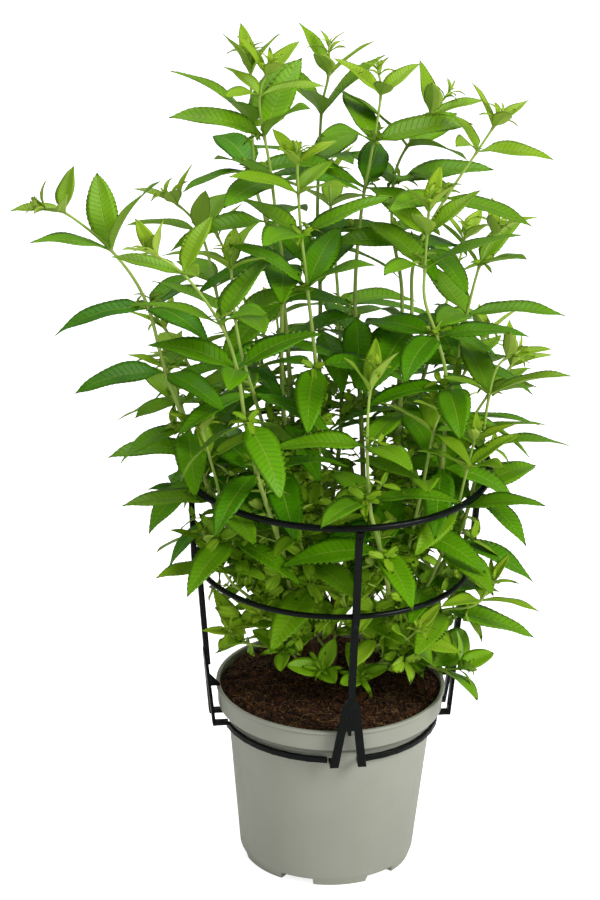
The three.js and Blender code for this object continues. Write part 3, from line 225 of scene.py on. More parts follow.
def placed(name, mesh, material, nodes):
    """A smooth piece of a mesh, on the root body, that takes the place of the CAD nodes named."""
    mesh.materials.append(material)
    mesh.polygons.foreach_set("use_smooth", np.ones(len(mesh.polygons), bool))
    piece = bpy.data.objects.new(name, mesh)
    bpy.context.scene.collection.objects.link(piece)
    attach(piece, "root")
    if nodes:
        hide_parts(*nodes)
    return piece


def new_piece(name, points, faces, material, nodes, point_values=None, face_values=None):
    """A placed piece from millimetre points and blocks of faces, each block a table of corner
    indices, that carries the values given for its points and faces."""
    mesh = bpy.data.meshes.new(name)
    corners = np.concatenate([block.ravel() for block in faces]).astype(np.int32)
    sizes = np.concatenate([np.full(len(block), block.shape[1]) for block in faces])
    mesh.vertices.add(len(points))
    mesh.vertices.foreach_set("co", (points * MM).astype(np.float32).ravel())
    mesh.loops.add(len(corners))
    mesh.loops.foreach_set("vertex_index", corners)
    mesh.polygons.add(len(sizes))
    mesh.polygons.foreach_set("loop_start", (np.cumsum(sizes) - sizes).astype(np.int32))
    for domain, values in (("POINT", point_values), ("FACE", face_values)):
        for key, numbers in (values or {}).items():
            layer = mesh.attributes.new(key, "FLOAT", domain)
            layer.data.foreach_set("value", np.asarray(numbers, np.float32).ravel())
    mesh.update(calc_edges=True)
    return placed(name, mesh, material, nodes)


def softened(outline, reach, steps=4):
    """Rounds an outline's inner corners. Each becomes a quadratic Bezier curve that leaves one
    side and joins the next within `reach`, or within half of a shorter side."""
    outline = np.asarray(outline, float)
    corner, back, ahead = outline[1:-1], outline[:-2], outline[2:]

    def toward(other):
        side = other - corner
        span = np.linalg.norm(side, axis=1, keepdims=True)
        return corner + side * np.minimum(reach / span, 0.5)

    s = np.linspace(0, 1, steps + 1)[None, :, None]
    before, after = toward(back)[:, None], toward(ahead)[:, None]
    curve = (1 - s) ** 2 * before + 2 * s * (1 - s) * corner[:, None] + s**2 * after
    return np.vstack([outline[:1], curve.reshape(-1, 2), outline[-1:]])


def grid_faces(rows, columns, close_rows=False):
    """The quads of a grid of points numbered row by row. Each row is closed on itself, and the last
    row meets the first where asked."""
    i = np.arange(rows if close_rows else rows - 1)[:, None]
    j = np.arange(columns)[None, :]
    here, along = i * columns, ((i + 1) % rows) * columns
    side = (j + 1) % columns
    quads = np.stack([here + j, here + side, along + side, along + j], axis=-1)
    return quads.reshape(-1, 4)


def fan_faces(centre, ring, inward=False):
    """Triangles from one point to a closed ring of points."""
    ahead = np.roll(ring, -1)
    first, second = (ahead, ring) if inward else (ring, ahead)
    return np.stack([np.full(len(ring), centre), first, second], axis=-1)


def repeated(block, count, size):
    """The same faces for each of `count` like bodies of `size` points."""
    return (block[None] + size * np.arange(count)[:, None, None]).reshape(-1, block.shape[1])


def by_row(values, columns, ends):
    """A value for every point of a turned body or a tube: one for each row, then its two ends'."""
    return np.concatenate([np.repeat(values, columns), ends])


def around(count):
    """The angles of `count` even steps round a circle."""
    return 2 * np.pi * np.arange(count) / count


def unit(vectors):
    """Each vector at a length of 1."""
    return vectors / np.linalg.norm(vectors, axis=-1, keepdims=True)


def turned(radii, heights, angles):
    """A closed surface of revolution: rows of radii and heights from the middle of the underside,
    round the outside, to the middle of the top. The first and last rows become single points."""
    rows, columns = len(radii), len(angles)
    shape = (rows, columns)
    radii, heights = np.broadcast_to(radii, shape), np.broadcast_to(heights, shape)
    points = np.stack([radii * np.cos(angles), radii * np.sin(angles), heights], axis=-1)
    body = points[1:-1].reshape(-1, 3)
    first, last = len(body), len(body) + 1
    rings = np.arange(len(body)).reshape(rows - 2, columns)
    faces = [
        grid_faces(rows - 2, columns),
        fan_faces(first, rings[0], inward=True),
        fan_faces(last, rings[-1]),
    ]
    return np.vstack([body, points[0, :1], points[-1, :1]]), faces


def smooth_step(value, low, high):
    """0 below low, 1 above high, and a smooth rise between."""
    t = np.clip((value - low) / (high - low), 0, 1)
    return t * t * (3 - 2 * t)


def wall_radius(height):
    """The outer radius of the tapering wall between its lower corner and the step."""
    share = (height - CORNER) / (STRIP_BOTTOM - CORNER)
    return WALL_AT_CORNER + (WALL_AT_STRIP - WALL_AT_CORNER) * share


def inner_radius(height):
    """The radius of the wall's inner side."""
    return wall_radius(height) - WALL_THICKNESS


COLLAR_INSIDE = COLLAR_RADIUS - WALL_THICKNESS
edge_at_notch = BASE_RADIUS + (WALL_AT_CORNER - BASE_RADIUS) * NOTCH_HEIGHT / CORNER
wall_heights = np.linspace(CORNER + 4, STRIP_BOTTOM - 4, WALL_ROWS)
POT_OUTLINE = [
    (0, 0), (HUB_RADIUS, 0), (HUB_RADIUS + 2, FLOOR_UNDERSIDE),
    (FOOT_RING_INNER - 2, FLOOR_UNDERSIDE), (FOOT_RING_INNER, 0), (BASE_RADIUS, 0),
    (edge_at_notch, NOTCH_HEIGHT), (WALL_AT_CORNER, CORNER),
    *zip(wall_radius(wall_heights), wall_heights),
    (WALL_AT_STRIP, STRIP_BOTTOM), (STRIP_RADIUS, STRIP_BOTTOM + 0.3),
    (STRIP_RADIUS, COLLAR_BOTTOM), (COLLAR_RADIUS, COLLAR_BOTTOM),
    (RIM_RADIUS - 1.6, BEAD_BOTTOM - 1.4), (RIM_RADIUS - 1.7, BEAD_BOTTOM + 0.1),
    (RIM_RADIUS, BEAD_BOTTOM + 0.7), (RIM_RADIUS - 0.2, POT_HEIGHT - 0.4),
    (RIM_RADIUS - 0.9, POT_HEIGHT), (COLLAR_INSIDE + 0.9, POT_HEIGHT),
    (COLLAR_INSIDE + 0.2, POT_HEIGHT - 1.2), (COLLAR_INSIDE, COLLAR_BOTTOM + WALL_THICKNESS),
    (inner_radius(STRIP_BOTTOM), COLLAR_BOTTOM),
    (inner_radius(FLOOR_TOP), FLOOR_TOP), (0, FLOOR_TOP),
]

pot_profile = softened(POT_OUTLINE, POT_SOFTNESS)
notch_headings = FOOT_HEADING + (np.arange(FEET) + 0.5) * 360 / FEET
notch_sides = np.concatenate([notch_headings + s * a for s in (-1, 1) for a in NOTCH_HALF_ANGLE])
pot_angles = np.concatenate([np.arange(0, 360, POT_COLUMN_STEP), notch_sides % 360])
pot_angles = np.unique(np.round(pot_angles, 3))
off_notch = np.abs((pot_angles[:, None] - notch_headings + 180) % 360 - 180).min(axis=1)
notch = 1 - smooth_step(off_notch, *NOTCH_HALF_ANGLE)
pot_radii, pot_heights = pot_profile[:, :1], pot_profile[:, 1:]
in_foot = (pot_radii > FOOT_RING_INNER - 2) & (pot_heights < NOTCH_HEIGHT)
pot_heights = pot_heights + np.where(in_foot, (NOTCH_HEIGHT - pot_heights) * notch, 0)


def pot_plastic():
    """Satin grey polypropylene: faint upright flow streaks, a little mottle, fine handling scuffs,
    and dust inside it, with shade painted into the groove under the bead and onto the step under the
    collar."""
    material, tree = new_material("grey_polypropylene")
    tone, _ = mottled(tree, "#b4b6a8", "#acaea0", 14.0, 0.7)
    streaks = rising(tree, grain(tree, 60.0, 2.0, (1, 1, 0.06)), 0.4, 0.62)
    tone = blended(tree, times(tree, streaks, 0.08), tone, "#bcbeb4")
    dust = rising(tree, grain(tree, 240.0, 5.0), 0.52, 0.6)
    soiled = times(tree, reading(tree, "inside"), dust)
    tone = blended(tree, times(tree, soiled, 0.3), tone, "#5a4a3a")
    # Painted shade: darkens the groove under the bead and the step under the collar, where shadow falls.
    tone = blended(tree, times(tree, reading(tree, "crease_shade"), 0.55), tone, "#403d34")
    scuffs = rising(tree, grain(tree, 380.0, 4.0, (1, 1, 0.3)), 0.45, 0.7, 0.36, 0.52)
    surfaced(tree, tone, scuffs, 0.35)
    relief(tree, grain(tree, 900.0, 2.0), 0.12, 0.0002)
    return material


points, faces = turned(pot_radii, pot_heights, np.radians(pot_angles))
radii, heights = pot_profile.T
past_rim = np.arange(len(pot_profile)) > np.argmax(heights)
# Where the shade is painted: a soft line in the groove under the bead, and the step in the collar's shadow.
shade_in_groove = np.exp(-(((heights - BEAD_BOTTOM) / GROOVE_WIDTH) ** 2)) * ~past_rim
shade_under_collar = (radii < COLLAR_RADIUS - 0.2) & (heights > STRIP_BOTTOM + 0.1) & ~past_rim
crease_shade = np.maximum(GROOVE_SHADE * shade_in_groove, shade_under_collar)
pot = new_piece(
    "nursery_pot", points, faces, pot_plastic(), ["pot"],
    point_values={
        "inside": by_row(past_rim[1:-1], len(pot_angles), [0, 1]),
        "crease_shade": by_row(crease_shade[1:-1], len(pot_angles), [0, 0]),
    },
)

drain_angles = np.radians(np.arange(DRAINS) * 360 / DRAINS + 30)
drill_radii = np.array([[0], [DRAIN_RADIUS], [DRAIN_RADIUS], [0]])
drill_points, drill_faces = turned(drill_radii, np.repeat(DRILL_SPAN, 2)[:, None], around(DRAIN_SIDES))
centres = np.stack([np.cos(drain_angles), np.sin(drain_angles), 0 * drain_angles], axis=1) * DRAIN_CIRCLE
drills = new_piece(
    "drain_drills",
    (drill_points + centres[:, None]).reshape(-1, 3),
    [repeated(block, DRAINS, len(drill_points)) for block in drill_faces],
    pot.data.materials[0], [],
)
boring = pot.modifiers.new("drain_holes", "BOOLEAN")
boring.operation = "DIFFERENCE"
boring.solver = "EXACT"
boring.object = drills
bpy.context.view_layer.objects.active = pot
bpy.ops.object.modifier_apply(modifier=boring.name)
bpy.data.objects.remove(drills)

# ------------------------------------------------------------------ potting soil
# Moist peat and coir filled to just under the rim: crumbs of every size in a loose lumpy bed,
# sunk a little where it meets the wall, with light coir threads lying in all directions.
SOIL_LEVEL = 150.6
SOIL_RELIEF = 1.6
SOIL_EDGE_SINK = 1.6
SOIL_SINKS = (80.0, 90.5)           # radii between which it does
SOIL_ROWS = 74
SOIL_COLUMNS = 240
SOIL_WALL_PLAY = 0.25
SHOULDER_PLAY = 0.3                 # where the soil widens over the step
LUMPS = ((13.0, 1.1), (5.5, 1.25), (2.6, 0.9))   # size across and height of each kind of lump
CRUMBS = 2600
THREADS = 430
THREAD_STEPS = 7
THREAD_SIDES = 3
THREAD_DRAPE = 0.3                  # how far a thread follows the lumps beneath it


def random_heights(x, y, size, seed):
    """Smooth random heights from -1 to 1: a seeded lattice `size` apart, blended between corners
    by the smooth step in x and in y."""
    lattice = np.random.default_rng(seed).uniform(-1, 1, (128, 128))
    u, v = x / size + 64, y / size + 64
    i, j = np.floor(u).astype(int) % 127, np.floor(v).astype(int) % 127
    s, t = smooth_step(u - np.floor(u), 0, 1), smooth_step(v - np.floor(v), 0, 1)
    low = lattice[i, j] * (1 - s) + lattice[i + 1, j] * s
    high = lattice[i, j + 1] * (1 - s) + lattice[i + 1, j + 1] * s
    return low * (1 - t) + high * t


def soil_height(x, y):
    """The soil's surface: broad mounds, then lumps of each size, with sharp crests and round hollows."""
    broad = np.sin(x * 0.071 + 1.3) * np.cos(y * 0.083 - 0.4)
    fine = np.sin(x * 0.19 - y * 0.11) * np.sin(y * 0.23 + 0.7)
    height = SOIL_LEVEL + SOIL_RELIEF * (broad + 0.5 * fine)
    for seed, (size, rise) in enumerate(LUMPS):
        height = height + rise * (1 - 2 * np.abs(random_heights(x, y, size, seed)))
    return height - SOIL_EDGE_SINK * smooth_step(np.hypot(x, y), *SOIL_SINKS)


def soil_matter(name, dark, light, fleck):
    """Peat crumbs: nearly black to dark brown in patches, with red-brown patches and small pale flecks."""
    material, tree = new_material(name)
    tone, patch = mottled(tree, dark, light, 210.0, 1.0)
    rust = rising(tree, grain(tree, 95.0, 4.0), 0.5, 0.68, 0.0, 0.6)
    tone = blended(tree, rust, tone, "#613417")
    flecks = rising(tree, grain(tree, 900.0, 2.0), 0.63, 0.69, 0.0, 0.9)
    tone = blended(tree, flecks, tone, fleck)
    surfaced(tree, tone, rising(tree, patch, 0, 1, 0.98, 0.78), 0.25)
    relief(tree, grain(tree, 1300.0, 4.0), 0.8, 0.0012)
    return material


soil_edge = COLLAR_INSIDE - SOIL_WALL_PLAY
soil_foot = inner_radius(FLOOR_TOP) - SOIL_WALL_PLAY
soil_floor = FLOOR_TOP + SOIL_WALL_PLAY
shoulder = COLLAR_BOTTOM + SHOULDER_PLAY
below = np.array([                  # radii and heights from the middle of the underside
    (0, soil_floor), (soil_foot / 2, soil_floor), (soil_foot, soil_floor),
    (inner_radius(STRIP_BOTTOM) - SOIL_WALL_PLAY, shoulder), (soil_edge, shoulder + WALL_THICKNESS),
])
bed_radii = np.linspace(soil_edge, 0, SOIL_ROWS)[:, None]
soil_angles = around(SOIL_COLUMNS)
bed_heights = soil_height(bed_radii * np.cos(soil_angles), bed_radii * np.sin(soil_angles))
points, faces = turned(
    np.vstack([below[:, :1], bed_radii]),
    np.vstack([below[:, 1:] + 0 * soil_angles, bed_heights]),
    soil_angles,
)
new_piece(
    "soil_bed", points, faces, soil_matter("moist_peat", "#150b08", "#432719", "#a87c50"), ["soil"]
)

chance = np.random.default_rng(31)


def scattered(count, reach):
    """Points spread evenly over the soil within a radius."""
    radius = reach * np.sqrt(chance.uniform(0, 1, count))
    angle = chance.uniform(0, 2 * np.pi, count)
    return radius * np.cos(angle), radius * np.sin(angle)


OCTAHEDRON = np.array([(1, 0, 0), (-1, 0, 0), (0, 1, 0), (0, -1, 0), (0, 0, 1), (0, 0, -1)], float)
OCTAHEDRON_FACES = np.array(
    [(0, 2, 4), (2, 1, 4), (1, 3, 4), (3, 0, 4), (2, 0, 5), (1, 2, 5), (3, 1, 5), (0, 3, 5)]
)
crumb_x, crumb_y = scattered(CRUMBS, soil_edge - 2)
crumb_size = 0.5 + 1.9 * chance.uniform(0, 1, (CRUMBS, 1, 1)) ** 3
crumb_shape = OCTAHEDRON[None] * crumb_size * chance.uniform(0.55, 1.5, (CRUMBS, 6, 1))
crumb_turn = chance.uniform(0, 2 * np.pi, (CRUMBS, 1))
turned_x = crumb_shape[..., 0] * np.cos(crumb_turn) - crumb_shape[..., 1] * np.sin(crumb_turn)
turned_y = crumb_shape[..., 0] * np.sin(crumb_turn) + crumb_shape[..., 1] * np.cos(crumb_turn)
crumb_points = np.stack([turned_x, turned_y, crumb_shape[..., 2] * 0.7], axis=-1)
crumb_points += np.stack([crumb_x, crumb_y, soil_height(crumb_x, crumb_y) + 0.2], axis=-1)[:, None]
new_piece(
    "soil_crumbs", crumb_points.reshape(-1, 3),
    [repeated(OCTAHEDRON_FACES, CRUMBS, len(OCTAHEDRON))],
    soil_matter("bark_crumbs", "#160d07", "#6f4a2a", "#d4b081"), [],
)

thread_x, thread_y = scattered(THREADS, soil_edge - 7)
thread_length = chance.uniform(5, 19, (THREADS, 1))
thread_heading = chance.uniform(0, 2 * np.pi, (THREADS, 1))
thread_curl = chance.uniform(-2.2, 2.2, (THREADS, 1))
along = np.linspace(-0.5, 0.5, THREAD_STEPS)[None]
bearing = thread_heading + thread_curl * along
step_x = np.cumsum(np.cos(bearing), axis=1) * thread_length / THREAD_STEPS
step_y = np.cumsum(np.sin(bearing), axis=1) * thread_length / THREAD_STEPS
line_x = thread_x[:, None] + step_x - step_x.mean(axis=1, keepdims=True)
line_y = thread_y[:, None] + step_y - step_y.mean(axis=1, keepdims=True)
held_in = np.minimum(1, (soil_edge - 1) / np.hypot(line_x, line_y))
line_x, line_y = line_x * held_in, line_y * held_in
arch = chance.uniform(-0.2, 1.4, (THREADS, 1)) * (1 - 4 * along**2)
beneath = soil_height(line_x, line_y)
line_z = beneath.mean(axis=1, keepdims=True) + THREAD_DRAPE * (beneath - SOIL_LEVEL) + arch + 0.4
thickness = chance.uniform(0.1, 0.3, (THREADS, 1)) * (1 - 1.6 * along**2)
round_angle = around(THREAD_SIDES)
sideways = thickness[..., None] * np.cos(round_angle)
thread_points = np.stack(
    [
        line_x[..., None] - np.sin(bearing)[..., None] * sideways,
        line_y[..., None] + np.cos(bearing)[..., None] * sideways,
        line_z[..., None] + thickness[..., None] * np.sin(round_angle),
    ],
    axis=-1,
)
one_thread = THREAD_STEPS * THREAD_SIDES
thread_faces = (
    grid_faces(THREAD_STEPS, THREAD_SIDES),
    np.array([[2, 1, 0]]),
    np.array([[one_thread - 3, one_thread - 2, one_thread - 1]]),
)


def thread_fibre():
    """Coir thread: dull straw, darker where it is still wet."""
    material, tree = new_material("coir_thread")
    tone, patch = mottled(tree, "#a07a48", "#4c311a", 60.0, 1.0)
    surfaced(tree, tone, rising(tree, patch, 0, 1, 0.6, 0.9))
    return material


new_piece(
    "coir_threads", thread_points.reshape(-1, 3),
    [repeated(block, THREADS, one_thread) for block in thread_faces],
    thread_fibre(), [],
)

# ------------------------------------------------------------------ support cage
# A clip-on plant support moulded in glossy black-green plastic: a band of four quarters hugs the
# pot under its collar, four leaning posts clip to it on A-shaped feet, and two rings snap into
# the posts to hold the shoots together.
UPPER_RING = ("upper_ring", 124.8, 350.0, 2.8)      # node, radius, height, half-thickness
MIDDLE_RING = ("middle_ring", 111.4, 266.7, 2.35)
RING_COLUMNS = 180
RING_SIDES = 14
POSTS = 4
EDGE_ROUNDING = 0.55


def cage_plastic():
    """Glossy black-green plastic with the slight orange peel and rub marks of a reused moulding."""
    material, tree = new_material("black_green_plastic")
    tone, _ = mottled(tree, "#060b09", "#0a120e", 35.0, 1.0)
    rubbed = rising(tree, grain(tree, 420.0, 4.0), 0.6, 0.75, 0.0, 0.14)
    tone = blended(tree, rubbed, tone, "#1e2923")
    surfaced(tree, tone, rising(tree, grain(tree, 160.0, 3.0), 0.35, 0.7, 0.24, 0.42), 0.16)
    relief(tree, grain(tree, 500.0, 2.0), 0.15, 0.0003)
    return material


CAGE_PLASTIC = cage_plastic()


def ring_piece(node, radius, height, half):
    """A torus: a circle of radius `half` carried round Z at `radius`."""
    heading, section = around(RING_COLUMNS)[:, None], around(RING_SIDES)[None]
    reach = radius + half * np.cos(section)
    rise = height + half * np.sin(section) + 0 * heading
    points = np.stack([reach * np.cos(heading), reach * np.sin(heading), rise], axis=-1)
    faces = grid_faces(RING_COLUMNS, RING_SIDES, close_rows=True)[:, ::-1]
    new_piece("cage_" + node, points.reshape(-1, 3), [faces], CAGE_PLASTIC, [node])


def moulded_copy(node):
    """A flat-sided CAD piece with its corners merged, its flat faces whole and its edges rounded."""
    body = bmesh.new()
    body.from_mesh(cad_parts[node].data)
    bmesh.ops.remove_doubles(body, verts=body.verts, dist=1e-6)
    bmesh.ops.dissolve_limit(body, angle_limit=math.radians(2), verts=body.verts, edges=body.edges)
    mesh = bpy.data.meshes.new("cage_" + node)
    body.to_mesh(mesh)
    body.free()
    mesh.materials.clear()
    piece = placed("cage_" + node, mesh, CAGE_PLASTIC, [node])
    rounding = piece.modifiers.new("rounded_edges", "BEVEL")
    rounding.width = EDGE_ROUNDING * MM
    rounding.segments = 2
    rounding.limit_method = "ANGLE"
    rounding.angle_limit = math.radians(25)
    rounding.harden_normals = True


ring_piece(*UPPER_RING)
ring_piece(*MIDDLE_RING)
for k in range(1, POSTS + 1):
    moulded_copy(f"post_{k}")
    moulded_copy(f"band_{k}")

# ------------------------------------------------------------------ woody canes
# Last year's wood, bare and brown: seven canes that stand in the soil and fork into the green
# shoots, with swollen joints and thin bark that splits lengthwise.
CANES = (                           # where its foot stands, and its route above
    ((-24, 18), (-34, 10, 198), (-50, -4, 238)),
    ((-12, 26), (-20, 26, 210), (-28, 24, 262)),
    ((2, 8), (2, 4, 205), (-1, 1, 250)),
    ((20, -2), (27, -18, 200), (36, -38, 240)),
    ((32, 16), (42, 12, 205), (56, 8, 250)),
    ((18, 38), (22, 42, 210), (26, 46, 262)),
    ((-2, 44), (-8, 54, 210), (-14, 66, 262)),
)
CANE_FOOT_HEIGHTS = (104, 152, 163)
CANE_RADIUS = 3.1
CANE_TOP_RADIUS = 2.3
CANE_STEPS = 90
CANE_SIDES = 16
JOINT_SPACING = 23.0
JOINT_SWELLING = 0.75
JOINT_LENGTH = 2.4


def point_on(points, t):
    """A uniform Catmull-Rom spline through the points, at shares t from 0 to 1 of its stretches.
    Beyond each end it runs on by the end's own step."""
    ends = np.vstack([2 * points[0] - points[1], points, 2 * points[-1] - points[-2]])
    at = t * (len(points) - 1)
    stretch = np.minimum(np.floor(at).astype(int), len(points) - 2)
    w = (at - stretch)[:, None]
    before, start, end, after = (ends[stretch + k] for k in range(4))
    slope_in, slope_out = 0.5 * (end - before), 0.5 * (after - start)
    return (
        start + slope_in * w + (-3 * start + 3 * end - 2 * slope_in - slope_out) * w**2
        + (2 * start - 2 * end + slope_in + slope_out) * w**3
    )


def route_through(points):
    """A route with its length, and a function that gives points and directions on it by share of
    length, from a table of 200 straight steps."""
    points = np.asarray(points, float)
    steps = np.linspace(0, 1, 201)
    spans = np.linalg.norm(np.diff(point_on(points, steps), axis=0), axis=1)
    lengths = np.concatenate([[0], np.cumsum(spans)])

    def at(share):
        t = np.interp(np.atleast_1d(share) * lengths[-1], lengths, steps)
        ahead = point_on(points, np.minimum(t + 1e-4, 1))
        back = point_on(points, np.maximum(t - 1e-4, 0))
        return point_on(points, t), unit(ahead - back)

    return lengths[-1], at


def tube(centres, directions, radii, sides):
    """A closed tube: a circle, or a circle whose radius changes round it, carried along a route."""
    across = unit(np.cross(np.array([0.31, -0.95, 0.0]), directions))[:, None]
    other = np.cross(directions, across[:, 0])[:, None]
    angle = around(sides)[None, :, None]
    radii = np.broadcast_to(radii, (len(centres), sides))[..., None]
    points = centres[:, None] + radii * (across * np.cos(angle) + other * np.sin(angle))
    points = points.reshape(-1, 3)
    rings = np.arange(len(points)).reshape(len(centres), sides)
    faces = [
        grid_faces(len(centres), sides),
        fan_faces(len(points), rings[0], inward=True),
        fan_faces(len(points) + 1, rings[-1]),
    ]
    return np.vstack([points, centres[:1], centres[-1:]]), faces


def cane_bark():
    """Thin brown bark, split lengthwise, with darker patches and paler joints."""
    material, tree = new_material("verbena_bark")
    tone, patch = mottled(tree, "#7a5436", "#4c3220", 90.0, 1.0)
    splits = rising(tree, grain(tree, 420.0, 4.0, (1, 1, 0.12)), 0.5, 0.62)
    tone = blended(tree, times(tree, splits, 0.7), tone, "#2c1c12")
    tone = blended(tree, times(tree, reading(tree, "joint"), 0.5), tone, "#94724c")
    surfaced(tree, tone, rising(tree, patch, 0, 1, 0.72, 0.9))
    relief(tree, splits, 0.6, -0.0008)
    return material


CANE_BARK = cane_bark()
for number, (foot, *above) in enumerate(CANES):
    length, at = route_through([(*foot, height) for height in CANE_FOOT_HEIGHTS] + above)
    share = np.linspace(0, 1, CANE_STEPS + 1)
    centres, directions = at(share)
    to_joint = np.abs((share * length + 5 * number) % JOINT_SPACING - JOINT_SPACING / 2)
    joint = np.exp(-((to_joint / JOINT_LENGTH) ** 2))
    ridges = 0.14 * np.sin(5 * around(CANE_SIDES) + number)
    radii = CANE_RADIUS + (CANE_TOP_RADIUS - CANE_RADIUS) * share + JOINT_SWELLING * joint
    points, faces = tube(centres, directions, radii[:, None] + ridges, CANE_SIDES)
    new_piece(
        f"cane_{number + 1}_wood", points, faces, CANE_BARK, [f"cane_{number + 1}"],
        point_values={"joint": by_row(joint, CANE_SIDES, [0, 0])},
    )
